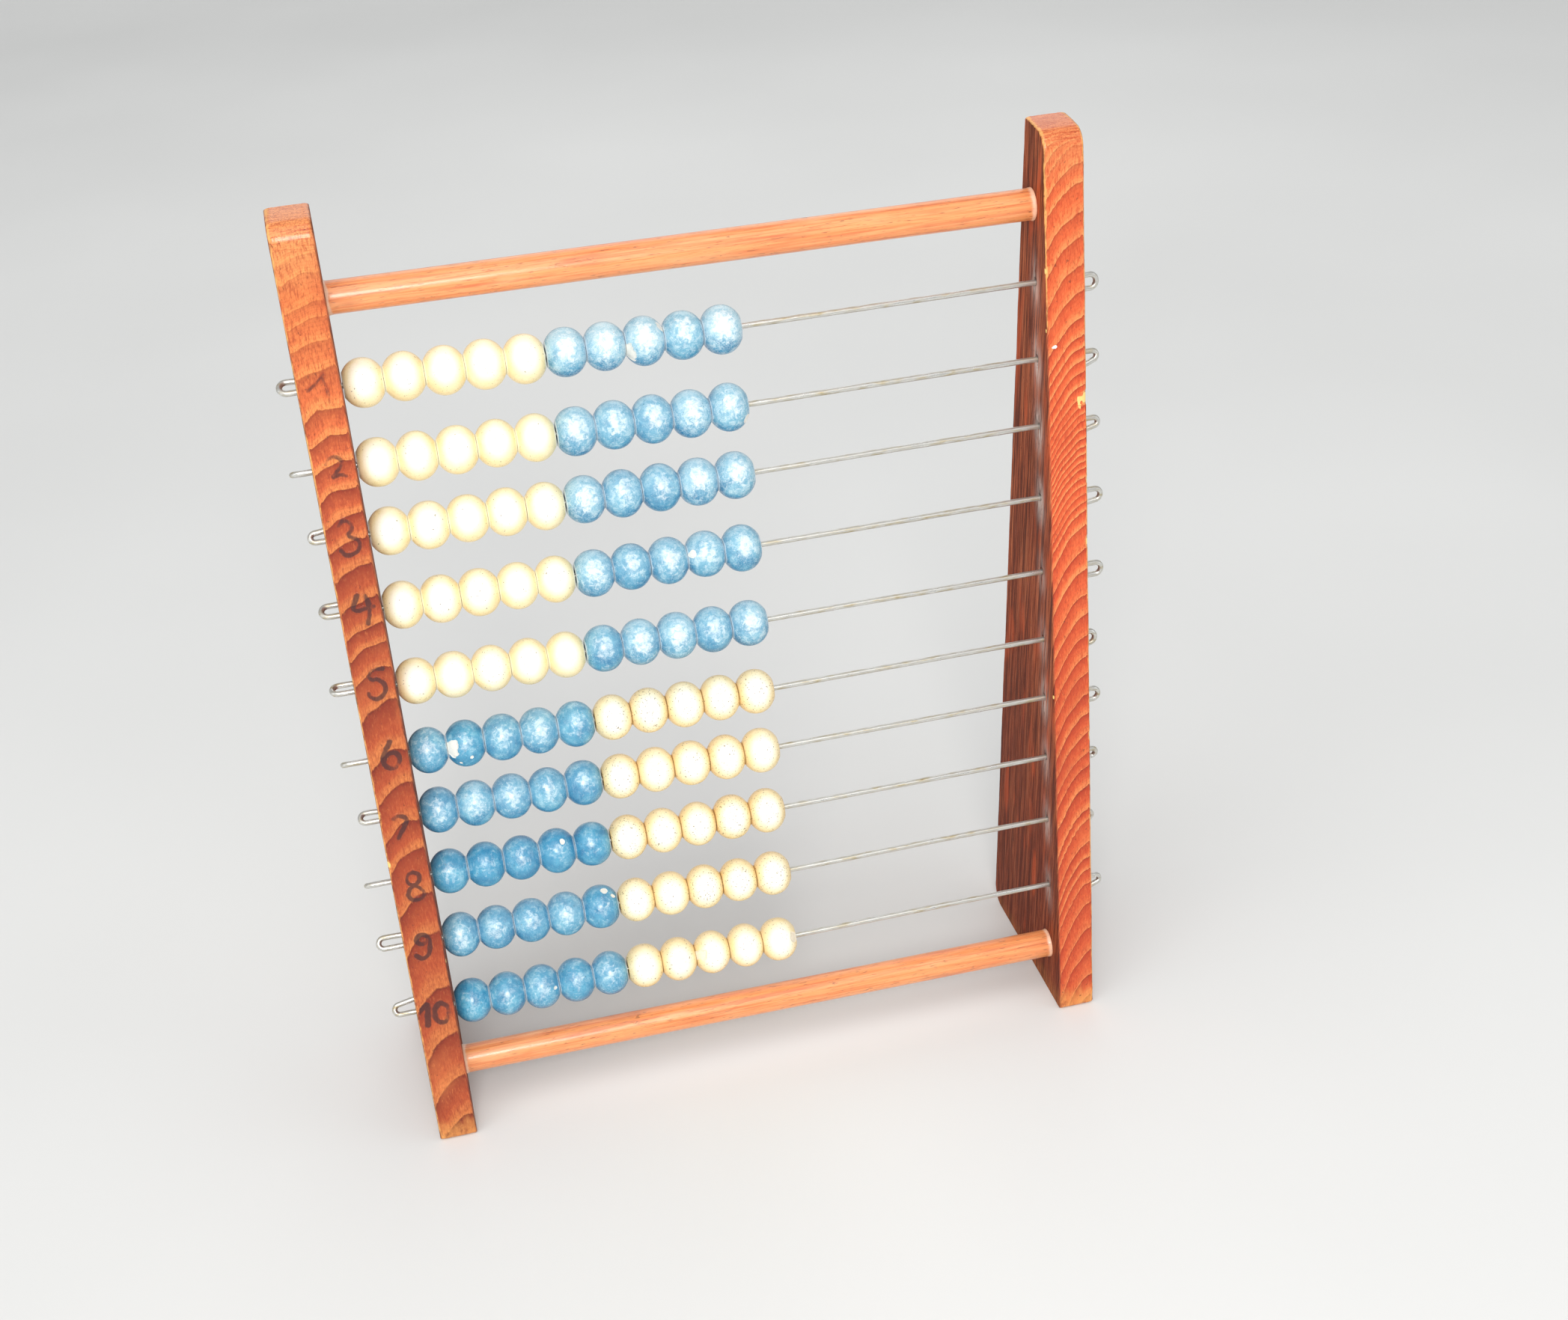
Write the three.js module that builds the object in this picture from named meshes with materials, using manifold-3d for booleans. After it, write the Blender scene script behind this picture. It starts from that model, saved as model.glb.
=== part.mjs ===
// Counting frame: two tapered side boards joined by two dowels, with ten
// stiff wires between them. Each wire carries ten wooden beads in two fives
// of different colours, and ends in a hairpin loop outside each board.
// Millimetres, +X along the wires to the right, +Y to the back, +Z up.
import * as THREE from 'three';
import { mergeVertices } from 'three/addons/utils/BufferGeometryUtils.js';
import Module from 'manifold-3d';

const wasm = await Module();
wasm.setup();

// ---------------------------------------------------------------- dimensions
const INNER_WIDTH = 177.4;      // between the two boards' inner faces
const BOARD_THICKNESS = 10.6;
const LEAN = 2.5;               // degrees that the front edges lean back
const TAPER = 0.1814;           // run of the back edge for each mm of rise
const BOARD_HEIGHT_FRONT = { left: 266.6, right: 263.9 };
const BOARD_DEPTH_FOOT = 61.6;  // along the foot, before the heel is rounded
const HEEL_RADIUS = 5.5;
const TOE_RADIUS = 1.2;
const BROW_RADIUS = 5.2;        // rounded front top corner
const CREST_RADIUS = 0.8;       // top back corner

const DOWEL_DIAMETER = 8.2;
const DOWEL_DEPTH = 10;         // axis behind the front edge
const DOWEL_HEIGHTS = [245.6, 18.3];
const SOCKET_DEPTH = 6;
const FIT_GAP = 0.3;

const WIRE_DIAMETER = 1.5;
const WIRE_DEPTH = 8.35;        // axis behind the front edge
const WIRE_HEIGHTS = [224.8, 204.0, 185.3, 164.6, 142.5, 121.6, 103.1, 83.5, 62.5, 39.8];
const WIRE_HOLE_APOTHEM = 1.1;
const RETURN_HOLE_APOTHEM = 1.05;
const RETURN_HOLE_DEPTH = 7.5;
const RETURN_LEG_INSIDE = 4.0;

// hairpin loops, rows 1 to 10: reach outside the board, distance between the
// two legs, and the return leg's direction from the main leg in degrees
// (0 up, 90 to the back, 180 down)
const LEFT_LOOPS = [
  [5.0, 3.5, 60], [5.9, 3.4, 112], [4.5, 2.8, 40], [5.4, 3.5, 62], [6.6, 3.5, 80],
  [7.5, 3.4, 118], [5.8, 2.8, 60], [7.6, 3.4, 120], [7.5, 2.9, 40], [6.7, 3.6, 30],
];
const RIGHT_LOOPS = [
  [6.7, 3.6, 180], [6.5, 4.0, 195], [6.7, 3.6, 190], [7.4, 3.9, 180], [7.5, 3.6, 175],
  [5.4, 3.6, 180], [6.3, 3.4, 175], [5.4, 2.8, 170], [4.0, 2.8, 170], [6.0, 3.8, 195],
];

const BEAD_LENGTH = 10;
const BEAD_DIAMETER = 12.2;
const BEAD_NECK_DIAMETER = 8.2; // where two beads touch
const BEAD_BORE_DIAMETER = 2.9;
const BEADS_IN_GROUP = 5;
const FIRST_BEAD_GAP = 0.55;    // from the left board to the first bead
const BEAD_SIDES = 10;

const WOOD = { color: 0xb4532a, roughness: 0.55, metalness: 0 };
const DOWEL_WOOD = { color: 0xc9693a, roughness: 0.5, metalness: 0 };
const CREAM = { color: 0xe6d3a0, roughness: 0.45, metalness: 0 };
const BLUE = { color: 0x4f86b8, roughness: 0.45, metalness: 0 };
const STEEL = { color: 0x9c9a94, roughness: 0.35, metalness: 1 };

// ------------------------------------------------------------------- helpers
const mesh = (name, geometry, finish) => {
  const m = new THREE.Mesh(geometry, new THREE.MeshStandardMaterial(finish));
  m.name = name;
  return m;
};

const toSolid = (geometry) => {
  const g = geometry.clone();
  for (const key of Object.keys(g.attributes)) if (key !== 'position') g.deleteAttribute(key);
  const merged = mergeVertices(g, 1e-4);
  return new wasm.Manifold(new wasm.Mesh({
    numProp: 3,
    vertProperties: new Float32Array(merged.attributes.position.array),
    triVerts: new Uint32Array(merged.index.array),
  }));
};

const toGeometry = (solid) => {
  const m = solid.getMesh();
  const g = new THREE.BufferGeometry();
  g.setAttribute('position', new THREE.BufferAttribute(new Float32Array(m.vertProperties), 3));
  g.setIndex(new THREE.BufferAttribute(new Uint32Array(m.triVerts), 1));
  g.computeVertexNormals();
  return g;
};

// a straight prism along X from x0 to x1, centred on (depth, height)
const rodAlongX = (x0, x1, depth, height, radius, sides, turn = 0) => {
  const g = new THREE.CylinderGeometry(radius, radius, Math.abs(x1 - x0), sides, 1);
  g.rotateY(turn);
  g.rotateZ(Math.PI / 2);
  g.translate((x0 + x1) / 2, depth, height);
  return g;
};

const circumradius = (apothem, sides) => apothem / Math.cos(Math.PI / sides);

// where the return leg of a hairpin stands, from the wire's own axis
const returnLeg = (row, [, spacing, direction]) => {
  const a = THREE.MathUtils.degToRad(direction);
  return [WIRE_DEPTH + spacing * Math.sin(a), WIRE_HEIGHTS[row] + spacing * Math.cos(a)];
};

// ---------------------------------------------------------------- side boards
const boardProfile = (height) => {
  const s = Math.tan(THREE.MathUtils.degToRad(LEAN));
  const foot = (u) => -0.6 + s * u;
  const crestU = (BOARD_DEPTH_FOOT - TAPER * (height - foot(BOARD_DEPTH_FOOT))) / (1 + TAPER * TAPER);
  const corners = [
    [[0, foot(0)], TOE_RADIUS, 3],
    [[BOARD_DEPTH_FOOT, foot(BOARD_DEPTH_FOOT)], HEEL_RADIUS, 6],
    [[crestU, height + TAPER * crestU], CREST_RADIUS, 2],
    [[0, height], BROW_RADIUS, 6],
  ];
  const points = [];
  corners.forEach(([p, radius, steps], i) => {
    const here = new THREE.Vector2(...p);
    const before = new THREE.Vector2(...corners[(i + 3) % 4][0]).sub(here).normalize();
    const after = new THREE.Vector2(...corners[(i + 1) % 4][0]).sub(here).normalize();
    const half = before.angleTo(after) / 2;
    const centre = before.clone().add(after).normalize().multiplyScalar(radius / Math.sin(half)).add(here);
    const start = before.clone().multiplyScalar(radius / Math.tan(half)).add(here).sub(centre);
    const end = after.clone().multiplyScalar(radius / Math.tan(half)).add(here).sub(centre);
    let a0 = start.angle();
    let a1 = end.angle();
    if (a1 < a0) a1 += 2 * Math.PI;
    for (let k = 0; k <= steps; k++) {
      const a = a0 + (a1 - a0) * k / steps;
      points.push(new THREE.Vector2(centre.x + radius * Math.cos(a), centre.y + radius * Math.sin(a)));
    }
  });
  return points;
};

const sideBoard = (side, height, loops) => {
  const inner = side * INNER_WIDTH / 2;
  const outer = side * (INNER_WIDTH / 2 + BOARD_THICKNESS);
  // extruded along Z from the (depth, height) outline, then turned so that
  // the thickness lies along X, depth along Y and height along Z
  const plank = new THREE.ExtrudeGeometry(new THREE.Shape(boardProfile(height)), {
    depth: BOARD_THICKNESS, steps: 1, bevelEnabled: false,
  });
  plank.applyMatrix4(new THREE.Matrix4().set(0, 0, 1, 0, 1, 0, 0, 0, 0, 1, 0, 0, 0, 0, 0, 1));
  plank.translate(Math.min(inner, outer), 0, 0);
  let solid = toSolid(plank);
  WIRE_HEIGHTS.forEach((level, row) => {
    solid = solid.subtract(toSolid(rodAlongX(
      inner - side, outer + side, WIRE_DEPTH, level, circumradius(WIRE_HOLE_APOTHEM, 8), 8)));
    const [depth, up] = returnLeg(row, loops[row]);
    solid = solid.subtract(toSolid(rodAlongX(
      outer - side * RETURN_HOLE_DEPTH, outer + side, depth, up, circumradius(RETURN_HOLE_APOTHEM, 8), 8)));
  });
  for (const level of DOWEL_HEIGHTS) {
    solid = solid.subtract(toSolid(rodAlongX(
      inner - side, inner + side * SOCKET_DEPTH, DOWEL_DEPTH, level,
      circumradius(DOWEL_DIAMETER / 2 + FIT_GAP, 16), 16)));
  }
  return toGeometry(solid);
};

// --------------------------------------------------------------------- dowels
const dowel = (height) => {
  const reach = INNER_WIDTH / 2 + SOCKET_DEPTH - FIT_GAP;
  return rodAlongX(-reach, reach, DOWEL_DEPTH, height, DOWEL_DIAMETER / 2, 16);
};

// ---------------------------------------------------------------------- wires
// A wire's centre line as a list of stations, each a point with a tangent.
class StationPath extends THREE.Curve {
  constructor(stations) {
    super();
    this.stations = stations;
  }
  getPoint(t, target = new THREE.Vector3()) {
    const k = Math.min(Math.max(t, 0), 1) * (this.stations.length - 1);
    const i = Math.min(Math.floor(k), this.stations.length - 2);
    return target.copy(this.stations[i].point).lerp(this.stations[i + 1].point, k - i);
  }
  getPointAt(u, target) { return this.getPoint(u, target); }
  getTangentAt(u, target = new THREE.Vector3()) {
    return target.copy(this.stations[Math.round(u * (this.stations.length - 1))].tangent);
  }
}

const hairpin = (row, side, loop) => {
  const [reach, spacing, direction] = loop;
  const a = THREE.MathUtils.degToRad(direction);
  const across = new THREE.Vector3(0, Math.sin(a), Math.cos(a));
  const out = new THREE.Vector3(side, 0, 0);
  const radius = spacing / 2;
  const face = INNER_WIDTH / 2 + BOARD_THICKNESS;
  const straight = reach - WIRE_DIAMETER / 2 - radius;
  const base = new THREE.Vector3(side * (face + straight), WIRE_DEPTH, WIRE_HEIGHTS[row]);
  const stations = [];
  const steps = 6;
  for (let k = 0; k <= steps; k++) {
    const b = Math.PI * k / steps;
    stations.push({
      point: base.clone().addScaledVector(out, radius * Math.sin(b)).addScaledVector(across, radius * (1 - Math.cos(b))),
      tangent: out.clone().multiplyScalar(Math.cos(b)).addScaledVector(across, Math.sin(b)),
    });
  }
  const tip = stations[steps].point.clone();
  tip.x = side * (face - RETURN_LEG_INSIDE);
  stations.push({ point: tip, tangent: out.clone().negate() });
  return stations;
};

const wire = (row) => {
  const right = hairpin(row, 1, RIGHT_LOOPS[row]);
  const left = hairpin(row, -1, LEFT_LOOPS[row]).reverse()
    .map(({ point, tangent }) => ({ point, tangent: tangent.clone().negate() }));
  const stations = [...left, ...right];
  const section = new THREE.Shape(Array.from({ length: 8 }, (_, k) => {
    const a = Math.PI / 4 * k;
    return new THREE.Vector2(WIRE_DIAMETER / 2 * Math.cos(a), WIRE_DIAMETER / 2 * Math.sin(a));
  }));
  return new THREE.ExtrudeGeometry(section, {
    steps: stations.length - 1, bevelEnabled: false, extrudePath: new StationPath(stations),
  });
};

// ---------------------------------------------------------------------- beads
// Five beads in a string, touching neck to neck, with one bore through them.
const beadGroup = (row, startX) => {
  const length = BEADS_IN_GROUP * BEAD_LENGTH - FIT_GAP;
  const pitch = length / BEADS_IN_GROUP;
  const bore = circumradius(BEAD_BORE_DIAMETER / 2, BEAD_SIDES);
  const neck = BEAD_NECK_DIAMETER / 2;
  const belly = BEAD_DIAMETER / 2;
  const profile = [new THREE.Vector2(bore, 0), new THREE.Vector2(neck, 0)];
  for (let i = 0; i < BEADS_IN_GROUP; i++) {
    profile.push(
      new THREE.Vector2(belly * 0.93, (i + 0.24) * pitch),
      new THREE.Vector2(belly, (i + 0.5) * pitch),
      new THREE.Vector2(belly * 0.93, (i + 0.76) * pitch),
      new THREE.Vector2(neck, (i + 1) * pitch),
    );
  }
  profile.push(new THREE.Vector2(bore, length), new THREE.Vector2(bore, 0));
  const g = new THREE.LatheGeometry(profile, BEAD_SIDES);
  g.rotateZ(-Math.PI / 2);
  g.translate(startX, WIRE_DEPTH, WIRE_HEIGHTS[row]);
  return g;
};

// ------------------------------------------------------------------- assembly
const frame = new THREE.Group();
frame.rotation.x = -THREE.MathUtils.degToRad(LEAN);
frame.add(mesh('left_side_board', sideBoard(-1, BOARD_HEIGHT_FRONT.left, LEFT_LOOPS), WOOD));
frame.add(mesh('right_side_board', sideBoard(1, BOARD_HEIGHT_FRONT.right, RIGHT_LOOPS), WOOD));
frame.add(mesh('top_dowel', dowel(DOWEL_HEIGHTS[0]), DOWEL_WOOD));
frame.add(mesh('bottom_dowel', dowel(DOWEL_HEIGHTS[1]), DOWEL_WOOD));

WIRE_HEIGHTS.forEach((_, row) => {
  const number = String(row + 1).padStart(2, '0');
  const leftStart = -INNER_WIDTH / 2 + FIRST_BEAD_GAP;
  const rightStart = leftStart + BEADS_IN_GROUP * BEAD_LENGTH;
  const creamFirst = row < 5;
  frame.add(mesh(`row_${number}_wire`, wire(row), STEEL));
  frame.add(mesh(`row_${number}_cream_beads`, beadGroup(row, creamFirst ? leftStart : rightStart), CREAM));
  frame.add(mesh(`row_${number}_blue_beads`, beadGroup(row, creamFirst ? rightStart : leftStart), BLUE));
});

// stands on its boards' feet, with the origin under the middle of its box
const abacus = new THREE.Group();
abacus.add(frame);
abacus.updateMatrixWorld(true);
const box = new THREE.Box3().setFromObject(abacus, true);
const middle = box.getCenter(new THREE.Vector3());
frame.position.set(-middle.x, -middle.y, -box.min.z);
abacus.updateMatrixWorld(true);

export default abacus;
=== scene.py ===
import math
import bpy
import bmesh
import numpy as np
from mathutils import Matrix, Vector
from mathutils.kdtree import KDTree


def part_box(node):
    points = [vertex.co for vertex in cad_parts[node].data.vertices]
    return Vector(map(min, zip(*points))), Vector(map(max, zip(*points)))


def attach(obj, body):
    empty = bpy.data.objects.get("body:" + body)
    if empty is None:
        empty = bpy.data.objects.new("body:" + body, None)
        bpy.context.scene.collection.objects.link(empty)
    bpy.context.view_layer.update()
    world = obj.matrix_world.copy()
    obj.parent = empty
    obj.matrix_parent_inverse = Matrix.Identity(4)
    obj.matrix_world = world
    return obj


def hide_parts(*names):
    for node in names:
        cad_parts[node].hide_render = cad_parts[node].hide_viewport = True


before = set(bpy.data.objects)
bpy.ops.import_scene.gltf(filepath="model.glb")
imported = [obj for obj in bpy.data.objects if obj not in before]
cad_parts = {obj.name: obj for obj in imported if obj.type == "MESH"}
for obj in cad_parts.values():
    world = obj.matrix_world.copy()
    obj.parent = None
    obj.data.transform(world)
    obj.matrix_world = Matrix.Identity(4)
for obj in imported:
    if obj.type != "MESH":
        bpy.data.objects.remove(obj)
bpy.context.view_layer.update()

# ---------------------------------------------------------------------------
# The part frame: x across, u depth behind the front edges, v height along them, all in mm.
# The whole frame leans back by LEAN; the top dowel's CAD node fixes where it stands.
# ---------------------------------------------------------------------------
LEAN = math.radians(2.5)
TURN = Matrix.Rotation(-LEAN, 4, 'X')
DOWEL_U, TOP_DOWEL_V, BOTTOM_DOWEL_V, DOWEL_R = 10.0, 245.6, 18.3, 4.1
DOWEL_SLANT = 0.75 / 88.7   # each dowel sits a little higher in the left board
_lo, _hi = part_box("top_dowel")
_centre = (_lo + _hi) / 2
PLACE = _centre - (TURN @ Vector((0, DOWEL_U / 1000, TOP_DOWEL_V / 1000)))
L2W = Matrix.Translation(PLACE) @ TURN
R3 = np.array(TURN.to_3x3())
P3 = np.array(PLACE)

HALF = 88.7                 # inner faces of the boards at x = -HALF and HALF
THICK = 10.6
TAPER = 0.1814
HEIGHTS = {1: 263.9, -1: 266.6}
DEPTH = 61.6
TAN_LEAN = math.tan(LEAN)
WIRE_U = 8.35
ROWS = [224.8, 204.0, 185.3, 164.6, 142.5, 121.6, 103.1, 83.5, 62.5, 39.8]
WIRE_R = 0.75
rng = np.random.default_rng(7)


def to_world(p):
    return (np.asarray(p, float) / 1000) @ R3.T + P3


def smooth(e0, e1, x):
    t = np.clip((np.asarray(x, float) - e0) / (e1 - e0), 0, 1)
    return t * t * (3 - 2 * t)


def wave(seed, *coords):
    """A smooth pseudo-random value in about -1..1 of one to three coordinates."""
    r = np.random.default_rng(seed)
    total = 0.0
    for k in range(5):
        a = r.normal(size=len(coords))
        a /= np.linalg.norm(a) + 1e-9
        f = 0.7 + 0.55 * k
        total = total + np.sin(sum(c * ai * f for c, ai in zip(coords, a)) + r.uniform(0, 6.28)) / (1 + 0.4 * k)
    return total / 2.3


def mesh_object(name, verts_mm, faces, body, material, attrs=None, flat=False, recalc=False):
    me = bpy.data.meshes.new(name)
    me.from_pydata(to_world(verts_mm).tolist(), [], [tuple(int(i) for i in f) for f in faces])
    me.update()
    if recalc:
        bm = bmesh.new()
        bm.from_mesh(me)
        bmesh.ops.recalc_face_normals(bm, faces=bm.faces)
        bm.to_mesh(me)
        bm.free()
    for k, v in (attrs or {}).items():
        at = me.attributes.new(k, 'FLOAT', 'POINT')
        at.data.foreach_set("value", np.asarray(v, np.float32))
    me.polygons.foreach_set("use_smooth", [not flat] * len(me.polygons))
    o = bpy.data.objects.new(name, me)
    bpy.context.scene.collection.objects.link(o)
    me.materials.append(material)
    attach(o, body)
    return o


# ---------------------------------------------------------------------------
# Materials
# ---------------------------------------------------------------------------
def lin(r, g, b):
    def f(c):
        c = c / 255
        return c / 12.92 if c <= 0.04045 else ((c + 0.055) / 1.055) ** 2.4
    return (f(r), f(g), f(b), 1.0)


class Tree:
    """A little shorthand for building node trees."""

    def __init__(self, name):
        self.mat = bpy.data.materials.new(name)
        self.mat.use_nodes = True
        self.nt = self.mat.node_tree
        self.nt.nodes.clear()
        self.out = self.nt.nodes.new("ShaderNodeOutputMaterial")
        self.bsdf = self.nt.nodes.new("ShaderNodeBsdfPrincipled")
        self.link(self.bsdf.outputs["BSDF"], self.out.inputs["Surface"])

    def link(self, a, b):
        self.nt.links.new(a, b)

    def put(self, socket, value):
        if isinstance(value, bpy.types.NodeSocket):
            self.link(value, socket)
        else:
            socket.default_value = value

    def node(self, kind, **props):
        n = self.nt.nodes.new(kind)
        for k, v in props.items():
            setattr(n, k, v)
        return n

    def math(self, op, a, b=None, c=None, clamp=False):
        n = self.node("ShaderNodeMath", operation=op, use_clamp=clamp)
        self.put(n.inputs[0], a)
        if b is not None:
            self.put(n.inputs[1], b)
        if c is not None:
            self.put(n.inputs[2], c)
        return n.outputs[0]

    def add(self, a, b): return self.math('ADD', a, b)
    def sub(self, a, b): return self.math('SUBTRACT', a, b)
    def mul(self, a, b): return self.math('MULTIPLY', a, b)

    def step(self, x, lo, hi, to_lo=0.0, to_hi=1.0):
        n = self.node("ShaderNodeMapRange", interpolation_type='SMOOTHSTEP')
        self.put(n.inputs["Value"], x)
        self.put(n.inputs["From Min"], lo)
        self.put(n.inputs["From Max"], hi)
        self.put(n.inputs["To Min"], to_lo)
        self.put(n.inputs["To Max"], to_hi)
        return n.outputs["Result"]

    def attr(self, name):
        n = self.node("ShaderNodeAttribute", attribute_type='GEOMETRY', attribute_name=name)
        return n.outputs["Fac"]

    def coords(self, angle=LEAN):
        """Object coordinates turned into the part frame's mm, and by a further angle for the grain."""
        tc = self.node("ShaderNodeTexCoord")
        m = self.node("ShaderNodeMapping", vector_type='POINT')
        self.link(tc.outputs["Object"], m.inputs["Vector"])
        rot = Matrix.Rotation(angle, 3, 'X')
        loc = -(rot @ (PLACE * 1000))
        m.inputs["Scale"].default_value = (1000, 1000, 1000)
        m.inputs["Rotation"].default_value = (angle, 0, 0)
        m.inputs["Location"].default_value = loc
        return m.outputs["Vector"]

    def scaled(self, vec, sx, sy, sz, off=(0, 0, 0)):
        m = self.node("ShaderNodeMapping", vector_type='POINT')
        self.put(m.inputs["Vector"], vec)
        m.inputs["Scale"].default_value = (sx, sy, sz)
        m.inputs["Location"].default_value = off
        return m.outputs["Vector"]

    def noise(self, vec, scale=1.0, detail=2.0, rough=0.5, distort=0.0, w=None):
        n = self.node("ShaderNodeTexNoise")
        if w is not None:
            n.noise_dimensions = '4D'
            self.put(n.inputs["W"], w)
        self.put(n.inputs["Vector"], vec)
        n.inputs["Scale"].default_value = scale
        n.inputs["Detail"].default_value = detail
        n.inputs["Roughness"].default_value = rough
        n.inputs["Distortion"].default_value = distort
        return n.outputs["Fac"]

    def ramp(self, fac, stops, interpolation='LINEAR'):
        n = self.node("ShaderNodeValToRGB")
        n.color_ramp.interpolation = interpolation
        els = n.color_ramp.elements
        while len(els) > 1:
            els.remove(els[-1])
        els[0].position, els[0].color = stops[0]
        for p, c in stops[1:]:
            e = els.new(p)
            e.color = c
        self.put(n.inputs["Fac"], fac)
        return n.outputs["Color"]

    def mix(self, fac, a, b, blend='MIX'):
        n = self.node("ShaderNodeMix", data_type='RGBA', blend_type=blend, clamp_factor=True)
        self.put(n.inputs[0], fac)
        self.put(n.inputs[6], a)
        self.put(n.inputs[7], b)
        return n.outputs[2]

    def bump(self, height, strength, distance, normal=None):
        n = self.node("ShaderNodeBump")
        self.put(n.inputs["Height"], height)
        n.inputs["Strength"].default_value = strength
        n.inputs["Distance"].default_value = distance
        if normal is not None:
            self.link(normal, n.inputs["Normal"])
        return n.outputs["Normal"]

    def done(self, colour, rough, normal=None, **fixed):
        self.put(self.bsdf.inputs["Base Color"], colour)
        self.put(self.bsdf.inputs["Roughness"], rough)
        if normal is not None:
            self.link(normal, self.bsdf.inputs["Normal"])
        for k, v in fixed.items():
            self.bsdf.inputs[k.replace("_", " ")].default_value = v
        return self.mat


GRAIN = math.atan(TAPER)


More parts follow.
